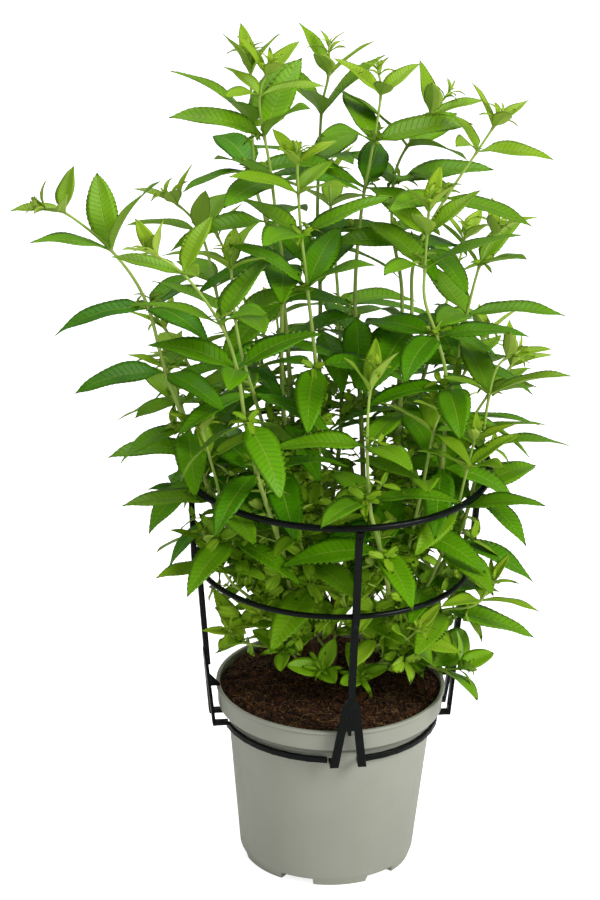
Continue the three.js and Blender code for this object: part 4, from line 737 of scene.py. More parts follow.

# ------------------------------------------------------------------ leafy shoots
# This year's green growth. A shoot carries whorls of three lance-shaped leaves, each whorl over
# the gaps of the next: thin, toothed, folded along a pale midrib and arched, pale beneath. Small
# leaves stand in the older leaves' axils, and a tuft of young yellow-green ones ends the shoot.

# For each shoot, in the order of its number: its kind, its route up from a cane, and the whorls
# given one by one, each as distance below the tip, heading of a leaf, and how far its leaves lift.
SHOOTS = (
    ("usual", [(36, -38, 240), (44, -62, 268), (33, -92, 330), (27, -98, 356), (23, -98, 409),
     (24, -95, 455), (30, -95, 476)],
     [(22, 85, 20), (68, 65, 0), (115, 0, 12), (168, 60, 5)]),
    ("usual", [(-36, 9, 205), (-34, -20, 240), (-40, -55, 290), (-52, -80, 340), (-63, -92, 380),
     (-73, -97, 427), (-80, -100, 472), (-93, -103, 511), (-123, -105, 554), (-153, -105, 573)],
     [(12, 105, 10), (36, 45, 0), (88, 70, 25), (129, 30, 15), (176, 65, -15), (223, 10, 20)]),
    ("usual", [(-1, 1, 250), (-13, -20, 342), (-17, -35, 434), (-27, -42, 521), (-34, -45, 578),
     (-38, -45, 636)],
     [(13, 10, 0), (36, 70, 0), (72, 15, 10), (116, 75, 25)]),
    ("usual", [(-50, -4, 238), (-68, -16, 262), (-89, -25, 297), (-113, -30, 371), (-138, -30, 440),
     (-155, -30, 502), (-182, -30, 543), (-219, -30, 574), (-240, -30, 577)],
     [(22, 60, 0), (70, 95, 28), (127, 60, 10), (184, 70, 8), (236, 55, 10), (280, 80, 10),
     (318, 50, 12)]),
    ("usual", [(41, 12, 200), (66, 6, 228), (85, 0, 255), (104, -15, 307), (112, -22, 349),
     (116, -28, 378), (119, -30, 417), (126, -28, 451), (143, -25, 464)],
     [(12, 0, 0), (46, 110, 10), (95, 0, 5), (138, 60, 8), (190, 0, 5)]),
    ("usual", [(49, 10, 228), (70, -20, 300), (82, -38, 350), (85, -45, 390), (85, -45, 446),
     (76, -42, 482), (66, -40, 511), (65, -40, 538), (67, -40, 599)],
     [(14, 80, 10), (34, 20, 10), (61, 0, 6), (120, -5, 5), (164, 60, 5)]),
    ("usual", [(28, -20, 205), (46, -38, 250), (57, -45, 287), (66, -60, 342), (70, -62, 369),
     (76, -62, 408), (84, -60, 433)],
     [(10, 0, 0), (27, 60, -20), (72, 20, 0), (120, 80, 5)]),
    ("usual", [(1, 3, 215), (-18, -18, 265), (-36, -33, 316), (-61, -48, 409), (-80, -57, 480),
     (-87, -60, 541), (-88, -60, 560)],
     [(19, 90, 0), (60, 35, 0)]),
    ("usual", [(56, 8, 250), (54, 5, 320), (50, 5, 393), (57, 5, 472), (57, 5, 523), (72, 8, 563),
     (105, 18, 616), (123, 20, 646)],
     [(12, 40, 0), (35, 0, -5), (80, 0, -5), (126, 60, 0)]),
    ("usual", [(-24, 25, 236), (-38, 8, 330), (-46, 4, 430), (-47, 5, 518), (-52, 2, 555),
     (-59, 0, 607), (-68, -2, 661), (-59, -4, 693)],
     [(12, 45, 0), (30, 0, -12), (64, 60, 20), (104, 120, 10)]),
    ("usual", [(26, 46, 262), (20, 44, 370), (12, 45, 477), (15, 52, 550), (22, 56, 600), (28, 60, 646),
     (25, 60, 669)],
     [(23, 30, 0), (62, 0, 12), (100, 60, 5), (138, 0, 0)]),
    ("usual", [(-28, 24, 262), (-36, 30, 370), (-46, 37, 478), (-61, 42, 543), (-71, 45, 578),
     (-75, 45, 649), (-77, 45, 688)],
     [(22, 105, 22), (64, 60, 26), (104, 0, 14), (146, 60, 0)]),
    ("usual", [(24, 44, 232), (46, 50, 320), (50, 55, 400), (50, 60, 479), (41, 76, 526), (42, 85, 572),
     (57, 90, 603), (84, 95, 639)],
     [(25, 10, 12), (56, 60, 10), (90, 0, 18), (130, 60, 5)]),
    ("usual", [(-14, 66, 262), (-15, 76, 360), (-16, 82, 461), (-20, 92, 527), (-19, 105, 613),
     (-14, 108, 645), (-14, 110, 671)],
     [(26, 10, 15), (58, 10, 20), (98, 60, 10)]),
    ("usual", [(-20.5, 26, 215), (-42, 32, 280), (-63, 35, 346), (-93, 45, 448), (-114, 55, 528),
     (-144, 60, 559)],
     [(14, 40, 0), (44, 60, 5), (90, 120, 5)]),
    ("sparse", [(-11.5, 59, 235), (-38, 82, 290), (-52, 92, 350), (-72, 118, 425), (-92, 138, 472),
     (-108, 146, 502)],
     [(12, 0, 0), (34, 60, 0)]),
    ("sparse", [(-8, 54, 210), (-2, 82, 280), (4, 102, 345), (0, 138, 430), (-8, 170, 500),
     (-12, 184, 542)],
     [(12, 30, 0), (34, 90, 0)]),
    ("sparse", [(22.5, 42.5, 215), (44, 68, 285), (60, 84, 350), (82, 112, 425), (98, 136, 475),
     (104, 144, 506)],
     [(12, 60, 0), (40, 0, 0), (84, 60, 5), (128, 0, 5), (172, 60, 0)]),
    ("sparse", [(-18.5, 26, 200), (-52, 44, 262), (-84, 58, 330), (-108, 68, 380), (-132, 78, 418),
     (-150, 88, 440)],
     [(12, 60, 0), (40, 110, 0), (84, 60, 8), (128, 100, 5)]),
    ("sparse", [(44.5, 11.5, 215), (72, 36, 270), (94, 52, 335), (114, 62, 372), (134, 72, 400),
     (150, 80, 416)],
     [(12, 0, 0), (40, 60, 10), (84, 0, 10)]),
    ("sparse", [(-6, 52, 195), (-26, 80, 260), (-34, 98, 325), (-46, 132, 385), (-54, 166, 425)],
     [(12, 0, 0), (36, 60, 0)]),
    ("sparse", [(20.5, 40.5, 195), (58, 62, 250), (80, 68, 320), (100, 88, 385), (124, 112, 428)],
     [(12, 0, 10), (40, 60, 10), (84, 0, 10), (128, 60, 10)]),
    ("usual", [(-30, 14, 186), (-52, -12, 222), (-72, -32, 248), (-84, -40, 263), (-98, -50, 293),
     (-106, -56, 312)],
     [(12, 60, 0), (40, 100, 0)]),
    ("usual", [(36.5, 14, 176), (62, 0, 205), (90, -20, 231), (110, -28, 238), (121, -31, 247),
     (130, -35, 268)],
     [(7, 40, -10), (24, 100, -10), (62, 0, 0)]),
    ("round", [(23, -8, 172), (45, -16, 180), (65, -20, 187), (88, -30, 183), (110, -35, 186)],
     [(6, 35, 0), (28, 80, 5)]),
    ("round", [(20, -2, 153), (22, -22, 166), (24, -42, 178)], [(6, 0, -15)]),
    ("round", [(2, 6, 156), (-3, -20, 172), (-8, -46, 186)], [(6, 60, -15)]),
    ("round", [(-25, 17, 160), (-32, -8, 182), (-40, -34, 198)], [(6, 30, -20)]),
    ("round", [(32.5, 15.5, 158), (44, -3, 176), (55, -20, 190), (61, -30, 199)],
     [(6, 90, -15), (24, 30, 0)]),
    ("usual", [(2, 5, 190), (8, -24, 222), (10, -52, 246), (6, -70, 268)],
     [(7, 80, 0), (26, 20, 0), (50, 80, 0)]),
    ("usual", [(-15.5, 26, 180), (-28, -8, 205), (-42, -32, 222), (-58, -54, 238)],
     [(7, 30, 0), (26, 90, 10)]),
    ("usual", [(24, -10, 185), (40, -34, 206), (58, -58, 222), (70, -74, 240)],
     [(7, 50, 0), (26, 110, 0)]),
    ("round", [(-2.5, 45, 160), (-22, 62, 178), (-40, 76, 188)], [(6, 60, -10), (22, 0, 0)]),
    ("round", [(18.5, 39, 160), (38, 56, 176), (54, 68, 188)], [(6, 30, -10), (26, 90, 0)]),
    ("usual", [(-43, 2.5, 222), (-74, 6, 262), (-104, 8, 330), (-126, 12, 392), (-142, 16, 436)],
     [(14, 60, 0), (44, 120, 0), (88, 60, 8), (132, 120, 8), (170, 60, 8)]),
    ("usual", [(-27.5, 15.5, 173), (-50, -16, 192), (-70, -42, 208), (-84, -60, 228)],
     [(8, 60, 10), (28, 110, 22)]),
    ("usual", [(38.5, 13.3, 188), (60, -16, 222), (82, -38, 276), (96, -50, 330), (104, -57, 375),
     (110, -60, 408)],
     [(10, 0, 0), (34, 60, 0), (74, 0, 5), (116, 60, 5), (160, 0, 5)]),
    ("usual", [(-46, 0, 228), (-66, -32, 252), (-84, -54, 310), (-98, -64, 370), (-110, -68, 415)],
     [(10, 60, 0), (34, 0, 0), (74, 60, 5), (116, 120, 5)]),
    ("usual", [(53, 9, 240), (72, 24, 300), (88, 30, 380), (100, 30, 460), (112, 28, 520),
     (126, 28, 552)],
     [(12, 0, 5), (40, 60, 5), (84, 0, 5), (128, 60, 5), (172, 0, 5)]),
    ("usual", [(1.5, 4, 203), (-14, -26, 248), (-26, -52, 298), (-34, -68, 340)],
     [(10, 60, 0), (32, 120, 0), (64, 60, 0), (98, 0, 0)]),
)
LEAF_LENGTH = 79.0
LEAF_SLENDERNESS = 0.35
ROUND_SLENDERNESS = 0.52
SMALLEST_LEAF = 23.0
LEAVES_PER_WHORL = 3
WHORL_TURN = 60.0
WHORL_SPACING = {"usual": 70.0, "round": 70.0, "sparse": 84.0}
BARE_FOOT = {"usual": 140.0, "round": 140.0, "sparse": 170.0}
YOUNG_LENGTH = 0.28
GROWN_AT = 62.0                     # below the tip, where leaves have their full length
OLD_AT = 230.0                      # and where they are older and shorter again
OLD_LENGTH = 0.92
TO_BASE = 0.8                       # powers of the outline towards the base
TO_TIP = {"usual": 1.1, "round": 0.85, "sparse": 1.1}   # and towards the tip
ROUND_YOUTH = 0.35                  # the short shoots at the soil are less yellow at their ends
# Turn, lift and share of its length that a crowded leaf takes: the first that clears the rest.
TRIES = (
    (0, 0, 1), (12, 0, 1), (-12, 0, 1), (0, 14, 1), (0, -14, 1), (24, 8, 1), (-24, 8, 1),
    (12, 22, 0.95), (-12, 22, 0.95), (0, 30, 0.9), (24, -14, 0.9), (-24, -14, 0.9),
    (36, 0, 0.9), (-36, 0, 0.9), (0, -28, 0.85), (40, 24, 0.8), (-40, 24, 0.8),
    (0, 42, 0.8), (18, 6, 0.7), (-18, 6, 0.7), (0, 20, 0.62), (30, 34, 0.62), (-30, 34, 0.62),
)
TIP_MATCH = 0.05                    # a leaf's tip lies this near to its solid's
SOLID_STRETCH = 75.0                # the solid's stem is made of straight stretches about this long
STEM_STEP = 4.0
STEM_SIDES = 9
STEM_FILL = 1.15                    # a round stem fills out the corners of the solid's square one
STEM_TIP_RADIUS = 0.8
STEM_SWELLING = 0.45                # at each whorl, over the length below
STEM_JOINT_LENGTH = 2.6
STEM_YOUTH = 170.0                  # how far down a stem its young colour fades
STEM_TAPER = 1.3 / 300
LONGEST_TAPER = 300.0
BLADE = 0.34                        # thickness of the blade
MIDRIB = 0.85                       # how far the midrib stands out beneath, at the leaf's foot
TEETH = 13
TOOTHED_STRETCH = (0.17, 0.93)
TOOTH_TOP = 0.72                    # a tooth leans towards the leaf's tip
TOOTH_DEPTH = 0.0068                # of the leaf's length
QUILTING = 0.005                    # of the leaf's length, between side veins
LEAF_ACROSS = np.array([-1, -0.64, -0.28, -0.06, 0.06, 0.28, 0.64, 1])
SMALL_ACROSS = np.array([-1, -0.45, 0, 0.45, 1])
TUFT = ((0.4, 11, 78), (2.5, 17, 62), (6.5, 22, 52))   # distance below the tip, size, rise
TUFT_CURL = 28.0                    # degrees that its leaves curl outward beyond other small ones
# Where a side twig's leaves stand along it, and their turn, share of its leaf size and rise.
TWIG_LEAVES = (
    (0.55, 90, 0.7, 25), (0.55, -90, 0.7, 25), (1, 0, 1.0, 30), (1, 120, 0.9, 40), (1, -120, 0.9, 40),
)
BROAD_TWIG_LEAF = 0.47              # its slenderness on a bare foot or a short shoot
SLIM_TWIG_LEAF = 0.38               # and elsewhere
POST_AT = 9.0                       # heading of one post; the others stand a quarter turn apart
POST_SPAN = (84.0, 130.0)           # radii between which a post stands
POST_TOP = 356.0
POST_HALF_WIDTH = 7.0               # with room to spare
BARE_JOINTS = 26.0                  # between the joints of a shoot's bare foot
TWIGS_THIN_OUT = (280.0, 480.0)     # heights between which the side twigs grow fewer and smaller
NEAR_SOIL = 205.0                   # few twigs below this height
PAINTED_LIGHT_BELOW = (170.0, 330.0)      # heights between which the leaves are painted lighter going down, as painted light against the shade of the foliage above
TWIG_RADIUS = 0.55
TWIG_SIDES = 5


def draws(seed):
    """A repeatable series of draws between -1 and 1."""
    state = seed * 7919 + 17
    while True:
        state = (1664525 * state + 1013904223) & 0xFFFFFFFF
        yield state / 2147483648 - 1


def whorls_of(kind, whorls, length):
    """The listed whorls, then one at every spacing down to the shoot's bare foot."""
    whorls = list(whorls)
    distance, heading, _ = whorls[-1]
    while distance + WHORL_SPACING[kind] < length - BARE_FOOT[kind]:
        distance += WHORL_SPACING[kind]
        heading += WHORL_TURN
        whorls.append((distance, heading, 0))
    return whorls


def leaf_habit(kind, distance, heading, lift, draw):
    """How a leaf stands, from its distance below the shoot's tip, with a little chance in each."""
    age = min(distance / GROWN_AT, 1)
    old = OLD_LENGTH if distance > OLD_AT else 1
    grown = YOUNG_LENGTH + (1 - YOUNG_LENGTH) * age**0.8
    slenderness = ROUND_SLENDERNESS if kind == "round" else LEAF_SLENDERNESS
    return {
        "length": LEAF_LENGTH * grown * old * (1 + 0.08 * next(draw)),
        "slenderness": slenderness * (1 + 0.1 * next(draw)),
        "rise": 58 - 38 * (1 - math.exp(-distance / 45)) - 0.11 * distance + lift + 7 * next(draw),
        "heading": heading + 9 * next(draw),
        "bend": 14 + 26 * (1 - math.exp(-distance / 60)) + 0.03 * distance + 8 * next(draw),
        "roll": 14 * next(draw),
        "twist": 12 * next(draw),
        "fold": 20 - 11 * age + 4 * next(draw),
        "sweep": 0.06 * next(draw),
    }


def blade_frames(leaves, t):
    """Each leaf's midrib and the directions across and out of its blade at shares t of its length.
    The midrib is an arc that starts at `rise` above the level and drops by `bend`, and the blade
    is rolled about it."""
    def column(key):
        return leaves[key][:, None]

    heading = np.radians(leaves["heading"])
    level = np.stack([np.cos(heading), np.sin(heading), 0 * heading], axis=-1)
    axis = leaves["axis"]
    out = unit(level - axis * np.sum(level * axis, axis=1, keepdims=True))
    side = np.cross(axis, out)
    rise, bend = np.radians(column("rise")), np.radians(column("bend"))
    slope = rise - bend * t
    length = column("length")
    outward = (length * (np.sin(rise) - np.sin(slope)) / bend)[..., None]
    upward = (length * (np.cos(slope) - np.cos(rise)) / bend)[..., None]
    sideways = (length * column("sweep") * t**2)[..., None]
    out, side, axis = out[:, None], side[:, None], axis[:, None]
    rib = leaves["foot"][:, None] + out * outward + axis * upward + side * sideways
    normal = axis * np.cos(slope)[..., None] - out * np.sin(slope)[..., None]
    roll = np.radians(column("roll") + column("twist") * t)[..., None]
    return rib, side * np.cos(roll) + normal * np.sin(roll), normal * np.cos(roll) - side * np.sin(roll)


def gathered(habits):
    """A list of leaves as one table of arrays."""
    return {key: np.array([habit[key] for habit in habits], float) for key in habits[0]}


def blade_faces(rows, columns):
    """The faces of one closed blade: its upper grid, its lower grid with the same rims, and a fan
    at each end. Returns quads, triangles, whether each lies beneath, and the number of points."""
    inner = rows - 2
    upper = np.arange(inner * columns).reshape(inner, columns)
    lower = upper.copy()
    lower[:, 1:-1] = inner * columns + np.arange(inner * (columns - 2)).reshape(inner, columns - 2)
    foot = inner * columns + inner * (columns - 2)
    tip = foot + 1

    def quads(grid):
        corners = [grid[:-1, :-1], grid[:-1, 1:], grid[1:, 1:], grid[1:, :-1]]
        return np.stack(corners, axis=-1).reshape(-1, 4)

    def ends(grid):
        at_foot = np.stack([np.full(columns - 1, foot), grid[0, 1:], grid[0, :-1]], axis=-1)
        at_tip = np.stack([np.full(columns - 1, tip), grid[-1, :-1], grid[-1, 1:]], axis=-1)
        return np.vstack([at_foot, at_tip])

    above, beneath = quads(upper)[:, ::-1], quads(lower)
    above_ends, beneath_ends = ends(upper), ends(lower)[:, ::-1]
    under = np.repeat([0.0, 1.0, 0.0, 1.0], [len(above), len(beneath), len(above_ends), len(beneath_ends)])
    return np.vstack([above, beneath]), np.vstack([above_ends, beneath_ends]), under, tip + 1


def blades(leaves, t, across, teeth):
    """Closed leaf blades: points, quads, triangles, the points' values, and whether each quad and
    each triangle lies beneath. Across a blade the surface rises from the midrib by the fold, is
    quilted between its side veins and waves at its toothed rim, and beneath it the midrib stands
    out as a tapering cord."""
    length = leaves["length"][:, None]
    tip_power = leaves["pointed"][:, None]
    widest = TO_BASE / (TO_BASE + tip_power)
    outline = (t / widest) ** TO_BASE * ((1 - t) / (1 - widest)) ** tip_power
    half = length * leaves["slenderness"][:, None] / 2 * outline
    opened = smooth_step(t, 0.02, 0.22)
    half = half * (0.3 + 0.7 * opened) + 0.55 * (1 - opened) * (1 - t)
    first, last = TOOTHED_STRETCH
    phase = (t - first) / (last - first) * max(teeth, 1)
    part = phase % 1
    saw = np.where(part < TOOTH_TOP + 1e-6, part / TOOTH_TOP, (1 - part) / (1 - TOOTH_TOP))
    saw = np.where((phase >= 0) & (phase <= teeth) & (teeth > 0), saw, 0.4)
    rim = np.abs(across) == 1
    reach = half[..., None] + np.where(rim, (TOOTH_DEPTH * length * (saw - 0.4))[..., None], 0)
    hand, share = np.sign(across), np.abs(across)
    fold = np.radians(leaves["fold"])[:, None, None]
    level = across * reach * np.cos(fold)
    wave = 0.011 * length[..., None] * share**2 * np.sin(
        2 * np.pi * (1.7 * t[None, :, None] + leaves["ripple"][:, None, None] + 0.31 * hand)
    )
    between_veins = np.cos(2 * np.pi * (phase[None, :, None] + 1.5 * (1 - share)))
    quilt = QUILTING * length[..., None] * between_veins * 4 * share * (1 - share) * opened[None, :, None]
    lifted = share**1.2 * reach * np.sin(fold) + (wave - quilt) * smooth_step(1 - t, 0, 0.2)[None, :, None]
    rib_share = np.exp(-((level / 0.95) ** 2))
    thin = BLADE * np.minimum(1, length / 45)[..., None] / 2
    cord = (MIDRIB * np.minimum(1, length / 60) * (1 - t) ** 1.3 + 0.1)[..., None] * rib_share
    rib, sideways, up = (part_[:, :, None] for part_ in blade_frames(leaves, t))
    middle = rib + sideways * level[..., None]
    crown = np.where(rim, 0, thin - 0.25 * cord)
    belly = np.where(rim, 0, -thin - cord)
    top = middle + up * (lifted + crown)[..., None]
    bottom = middle + up * (lifted + belly)[..., None]
    count, inside = len(length), slice(1, -1)
    points = np.concatenate(
        [
            top[:, inside].reshape(count, -1, 3),
            bottom[:, inside, inside].reshape(count, -1, 3),
            rib[:, 0],
            rib[:, -1],
        ],
        axis=1,
    )

    def spread(grid, ends):
        """A value for every point: the upper grid's, the lower one's, then both ends'."""
        grid = np.broadcast_to(grid, (count, len(t), len(across)))
        ends = np.broadcast_to(ends, (count, 2))
        above, beneath = grid[:, inside], grid[:, inside, inside]
        return np.concatenate([above.reshape(count, -1), beneath.reshape(count, -1), ends], axis=1).ravel()

    quads, triangles, under, size = blade_faces(len(t), len(across))
    return (
        points.reshape(-1, 3),
        repeated(quads, count, size),
        repeated(triangles, count, size),
        {
            "across": spread(across, 0),
            "vein": spread(phase[None, :, None] + 1.5 * (1 - share), 0),
            "youth": spread(leaves["youth"][:, None, None], leaves["youth"][:, None]),
            "tint_and_painted_light": spread(leaves["tint_and_painted_light"][:, None, None], leaves["tint_and_painted_light"][:, None]),
        },
        np.tile(under[: len(quads)], count),
        np.tile(under[len(quads) :], count),
    )


tooth_rows = TOOTHED_STRETCH[0] + (TOOTHED_STRETCH[1] - TOOTHED_STRETCH[0]) / TEETH * (
    np.arange(TEETH)[:, None] + np.array([0, TOOTH_TOP])
).ravel()
LEAF_ROWS = np.concatenate([[0.006, 0.02, 0.05, 0.09, 0.13], tooth_rows, [0.93, 0.967, 1.0]])
SMALL_ROWS = np.array([0.0, 0.06, 0.18, 0.32, 0.5, 0.68, 0.85, 1.0])


def leaf_tissue():
    """A lemon verbena leaf: satin green above with fine sunken side veins and a pale midrib, paler
    and duller beneath with the veins standing out, and yellow-green while it is young."""
    material, tree = new_material("verbena_leaf")
    youth, tint_and_painted_light, under = (reading(tree, name) for name in ("youth", "tint_and_painted_light", "underside"))
    share = reckon(tree, "ABSOLUTE", reading(tree, "across"))
    midrib = rising(tree, share, 0.012, 0.05, 1.0, 0.0)
    ripple = reckon(tree, "PINGPONG", reading(tree, "vein"), 0.5)
    side_vein = rising(tree, ripple, 0.0, 0.07, 1.0, 0.0)
    side_vein = times(tree, side_vein, rising(tree, share, 0.8, 1.0, 1.0, 0.0))
    grown, _ = mottled(tree, "#529b02", "#438902", 55.0, 0.8)
    # The tint is partly a random tone and partly painted light on the low leaves, which the foliage above
    # shades.
    grown = blended(tree, tint_and_painted_light, grown, "#7ebf0c")
    above = blended(tree, youth, grown, "#b2d632")
    above = blended(tree, times(tree, side_vein, 0.36), above, "#2f6406")
    above = blended(tree, times(tree, midrib, 0.7), above, "#aed04a")
    beneath = blended(tree, youth, "#79a62c", "#c8e45c")
    beneath = blended(tree, times(tree, side_vein, 0.45), beneath, "#9aba5c")
    beneath = blended(tree, times(tree, midrib, 0.8), beneath, "#aec587")
    pores = rising(tree, grain(tree, 700.0, 3.0), 0.3, 0.7, 0.26, 0.42)
    dullness = reckon(tree, "MULTIPLY_ADD", under, 0.25, pores)
    surfaced(tree, blended(tree, under, above, beneath), dullness, 0.2)
    facing = reckon(tree, "MULTIPLY_ADD", under, 2.0, -1.0)
    veins = reckon(tree, "ADD", side_vein, midrib)
    height = times(tree, veins, facing)
    fine = grain(tree, 1500.0, 2.0)
    relief(tree, reckon(tree, "MULTIPLY_ADD", fine, 0.35, height), 0.75, 0.0005)
    return material


def stem_skin():
    """A green shoot's skin: pale and faintly ribbed near the tip, browner lower down and at joints."""
    material, tree = new_material("verbena_stem")
    youth = reading(tree, "youth")
    tone, patch = mottled(tree, "#9dba4c", "#849244", 80.0, 0.8)
    tone = blended(tree, youth, tone, "#bedd66")
    tone = blended(tree, times(tree, reading(tree, "joint"), 0.5), tone, "#7c6a34")
    surfaced(tree, tone, rising(tree, patch, 0, 1, 0.45, 0.62))
    relief(tree, grain(tree, 600.0, 2.0, (1, 1, 0.1)), 0.3, 0.0004)
    return material


LEAF_TISSUE = leaf_tissue()
STEM_SKIN = stem_skin()


def solid_leaves(node, kind, whorls, length, at, number):
    """The leaves that the shoot's solid has: each whorl's leaves, in the first of their tries whose
    tip is a corner of that solid. They are found from the solid's straight stem and then rooted in
    the smooth one."""
    corners = np.empty(len(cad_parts[node].data.vertices) * 3, np.float32)
    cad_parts[node].data.vertices.foreach_get("co", corners)
    corners = corners.reshape(-1, 3) / MM
    draw = draws(number)
    stretches = max(2, round(length / SOLID_STRETCH))
    found = []
    for distance, heading, lift in whorls:
        (on_stem,), (direction,) = at(1 - distance / length)
        along = (1 - distance / length) * stretches
        stretch = min(math.floor(along), stretches - 1)
        (start, end), _ = at(np.array([stretch, stretch + 1]) / stretches)
        foot = start + (end - start) * (along - stretch)
        axis = unit(direction + np.array([0, 0, 1]))
        for k in range(LEAVES_PER_WHORL):
            habit = leaf_habit(kind, distance, heading + k * 360 / LEAVES_PER_WHORL, lift, draw)
            habit.update(foot=foot, axis=axis, distance=distance)
            for turn, rise, share in TRIES:
                leaf = dict(habit)
                leaf["heading"] += turn
                leaf["rise"] += rise
                leaf["length"] *= share
                if leaf["length"] < SMALLEST_LEAF:
                    break
                tip = blade_frames(gathered([leaf]), np.array([1.0]))[0][0, 0]
                if np.linalg.norm(corners - tip, axis=1).min() < TIP_MATCH:
                    leaf["foot"] = on_stem
                    found.append(leaf)
                    break
    return found


def small_leaf(foot, axis, heading, size, slenderness, rise, distance, luck):
    """One small leaf with a little chance in everything."""
    return {
        "length": size * luck.uniform(0.85, 1.2), "slenderness": slenderness * luck.uniform(0.85, 1.2),
        "rise": rise + luck.uniform(-12, 10), "heading": heading + luck.uniform(-14, 14),
        "bend": luck.uniform(12, 70), "roll": luck.uniform(-22, 22), "twist": luck.uniform(-20, 20),
        "fold": luck.uniform(12, 28), "sweep": luck.uniform(-0.1, 0.1),
        "foot": foot, "axis": axis, "distance": distance,
    }


def tuft(first_heading, length, at, luck):
    """The young leaves that end a shoot: tight whorls, longer and more open going down."""
    habits = []
    for whorl, (distance, size, rise) in enumerate(TUFT):
        (foot,), (direction,) = at(1 - distance / length)
        axis = unit(direction + np.array([0, 0, 0.6]))
        for k in range(LEAVES_PER_WHORL):
            heading = first_heading + WHORL_TURN * (whorl + 1) + k * 360 / LEAVES_PER_WHORL
            habits.append(small_leaf(foot, axis, heading, size, 0.2, rise, 4.0 * whorl, luck))
            habits[-1]["bend"] += TUFT_CURL
    return habits


def clear_of_pot(points):
    """True where a point lies outside the cage's rings and posts, the pot and the soil."""
    x, y, z = points.T
    radius = np.hypot(x, y)
    off_post = np.abs((np.degrees(np.arctan2(y, x)) - POST_AT + 45) % 90 - 45)
    nearest, farthest = POST_SPAN
    blocked = (np.radians(off_post) * radius < POST_HALF_WIDTH) & (radius > nearest)
    blocked &= (radius < farthest) & (z < POST_TOP)
    for _, ring_radius, height, half in (UPPER_RING, MIDDLE_RING):
        blocked |= np.hypot(radius - ring_radius, z - height) < half + 3
    blocked |= (radius > nearest) & (z < POT_HEIGHT + 4)
    return ~(blocked | (z < SOIL_LEVEL + 5))


def side_twigs(kind, whorls, length, at, luck):
    """Side growth of the year: in the axils of the older whorls, and at every joint of the bare
    foot, short pale twigs that carry a pair of small leaves and three more at the end."""
    joints = list(whorls)
    while joints[-1][0] + BARE_JOINTS < length - 12:
        joints.append((joints[-1][0] + BARE_JOINTS, joints[-1][1] + WHORL_TURN, 0))
    habits, twigs = [], []
    for distance, heading, _ in joints:
        if distance < 40:
            continue
        (foot,), (direction,) = at(1 - distance / length)
        broad = distance > whorls[-1][0] or kind == "round"
        slenderness = BROAD_TWIG_LEAF if broad else SLIM_TWIG_LEAF
        low = 1 - smooth_step(foot[2], *TWIGS_THIN_OUT)
        for k in range(LEAVES_PER_WHORL):
            if luck.uniform() > 0.35 + 0.35 * low - 0.4 * (foot[2] < NEAR_SOIL):
                continue
            turn = k * 360 / LEAVES_PER_WHORL + luck.uniform(-25, 25)
            bearing = math.radians(heading + turn)
            pitch = math.radians(luck.uniform(15, 60))
            outward = np.array([math.cos(bearing), math.sin(bearing), 0.0])
            outward = unit(outward - direction * (outward @ direction))
            way = outward * math.cos(pitch) + direction * math.sin(pitch)
            reach = luck.uniform(4, 9) + low * luck.uniform(4, 18)
            size = luck.uniform(11, 17) + low * luck.uniform(4, 16)
            end = foot + way * reach
            along = np.linspace(0.3, 1, 4)[:, None]
            if not clear_of_pot(foot + along * way * (reach + 0.7 * size)).all():
                continue
            twigs.append((foot, end))
            facing = math.degrees(math.atan2(way[1], way[0]))
            axis = unit(way + np.array([0, 0, 0.7]))
            for part, turn, share, rise in TWIG_LEAVES:
                at_twig, leaf_size = foot + (end - foot) * part, size * share
                habits.append(
                    small_leaf(at_twig, axis, facing + turn, leaf_size, slenderness, rise, 26.0, luck)
                )
    return habits, twigs


def foliage_piece(node, kind, main, small, luck):
    """All of a shoot's leaves as one mesh: large toothed ones and small plain ones."""
    made, start = [], 0
    for habits, rows, across, teeth in (
        (main, LEAF_ROWS, LEAF_ACROSS, TEETH),
        (small, SMALL_ROWS, SMALL_ACROSS, 0),
    ):
        if not habits:
            continue
        leaves = gathered(habits)
        count = len(habits)
        leaves["ripple"] = luck.uniform(0, 1, count)
        # Painted light: leaves low down, in the shade of the foliage above, get a lighter tint on top of a
        # random one.
        low = 1 - smooth_step(leaves["foot"][:, 2], *PAINTED_LIGHT_BELOW)
        leaves["tint_and_painted_light"] = luck.uniform(0, 0.7, count) + 0.6 * low
        leaves["pointed"] = np.full(count, TO_TIP[kind])
        youth = np.exp(-leaves["distance"] / 45) + luck.uniform(-0.12, 0.12, count)
        leaves["youth"] = np.clip(youth, 0, 1) * (ROUND_YOUTH if kind == "round" else 1)
        points, quads, triangles, *rest = blades(leaves, rows, across, teeth)
        made.append((points, quads + start, triangles + start, *rest))
        start += len(points)
    points, quads, triangles, values, quad_under, triangle_under = zip(*made)
    new_piece(
        node + "_leaves", np.vstack(points), [np.vstack(quads), np.vstack(triangles)], LEAF_TISSUE,
        [], {key: np.concatenate([part[key] for part in values]) for key in values[0]},
        {"underside": np.concatenate(quad_under + triangle_under)},
    )


def twig_piece(node, twigs):
    """A shoot's side twigs as one mesh: straight tapering rods."""
    if not twigs:
        return
    share = np.array([[0], [0.5], [1]])
    rods = []
    for foot, end in twigs:
        ahead = np.broadcast_to(unit(end - foot), (3, 3))
        rod, faces = tube(foot + (end - foot) * share, ahead, TWIG_RADIUS * (1.3 - 0.5 * share), TWIG_SIDES)
        rods.append(rod)
    points = np.vstack(rods)
    new_piece(
        node + "_twigs", points, [repeated(block, len(twigs), len(rod)) for block in faces],
        STEM_SKIN, [],
        point_values={"youth": np.full(len(points), 0.8), "joint": np.zeros(len(points))},
    )


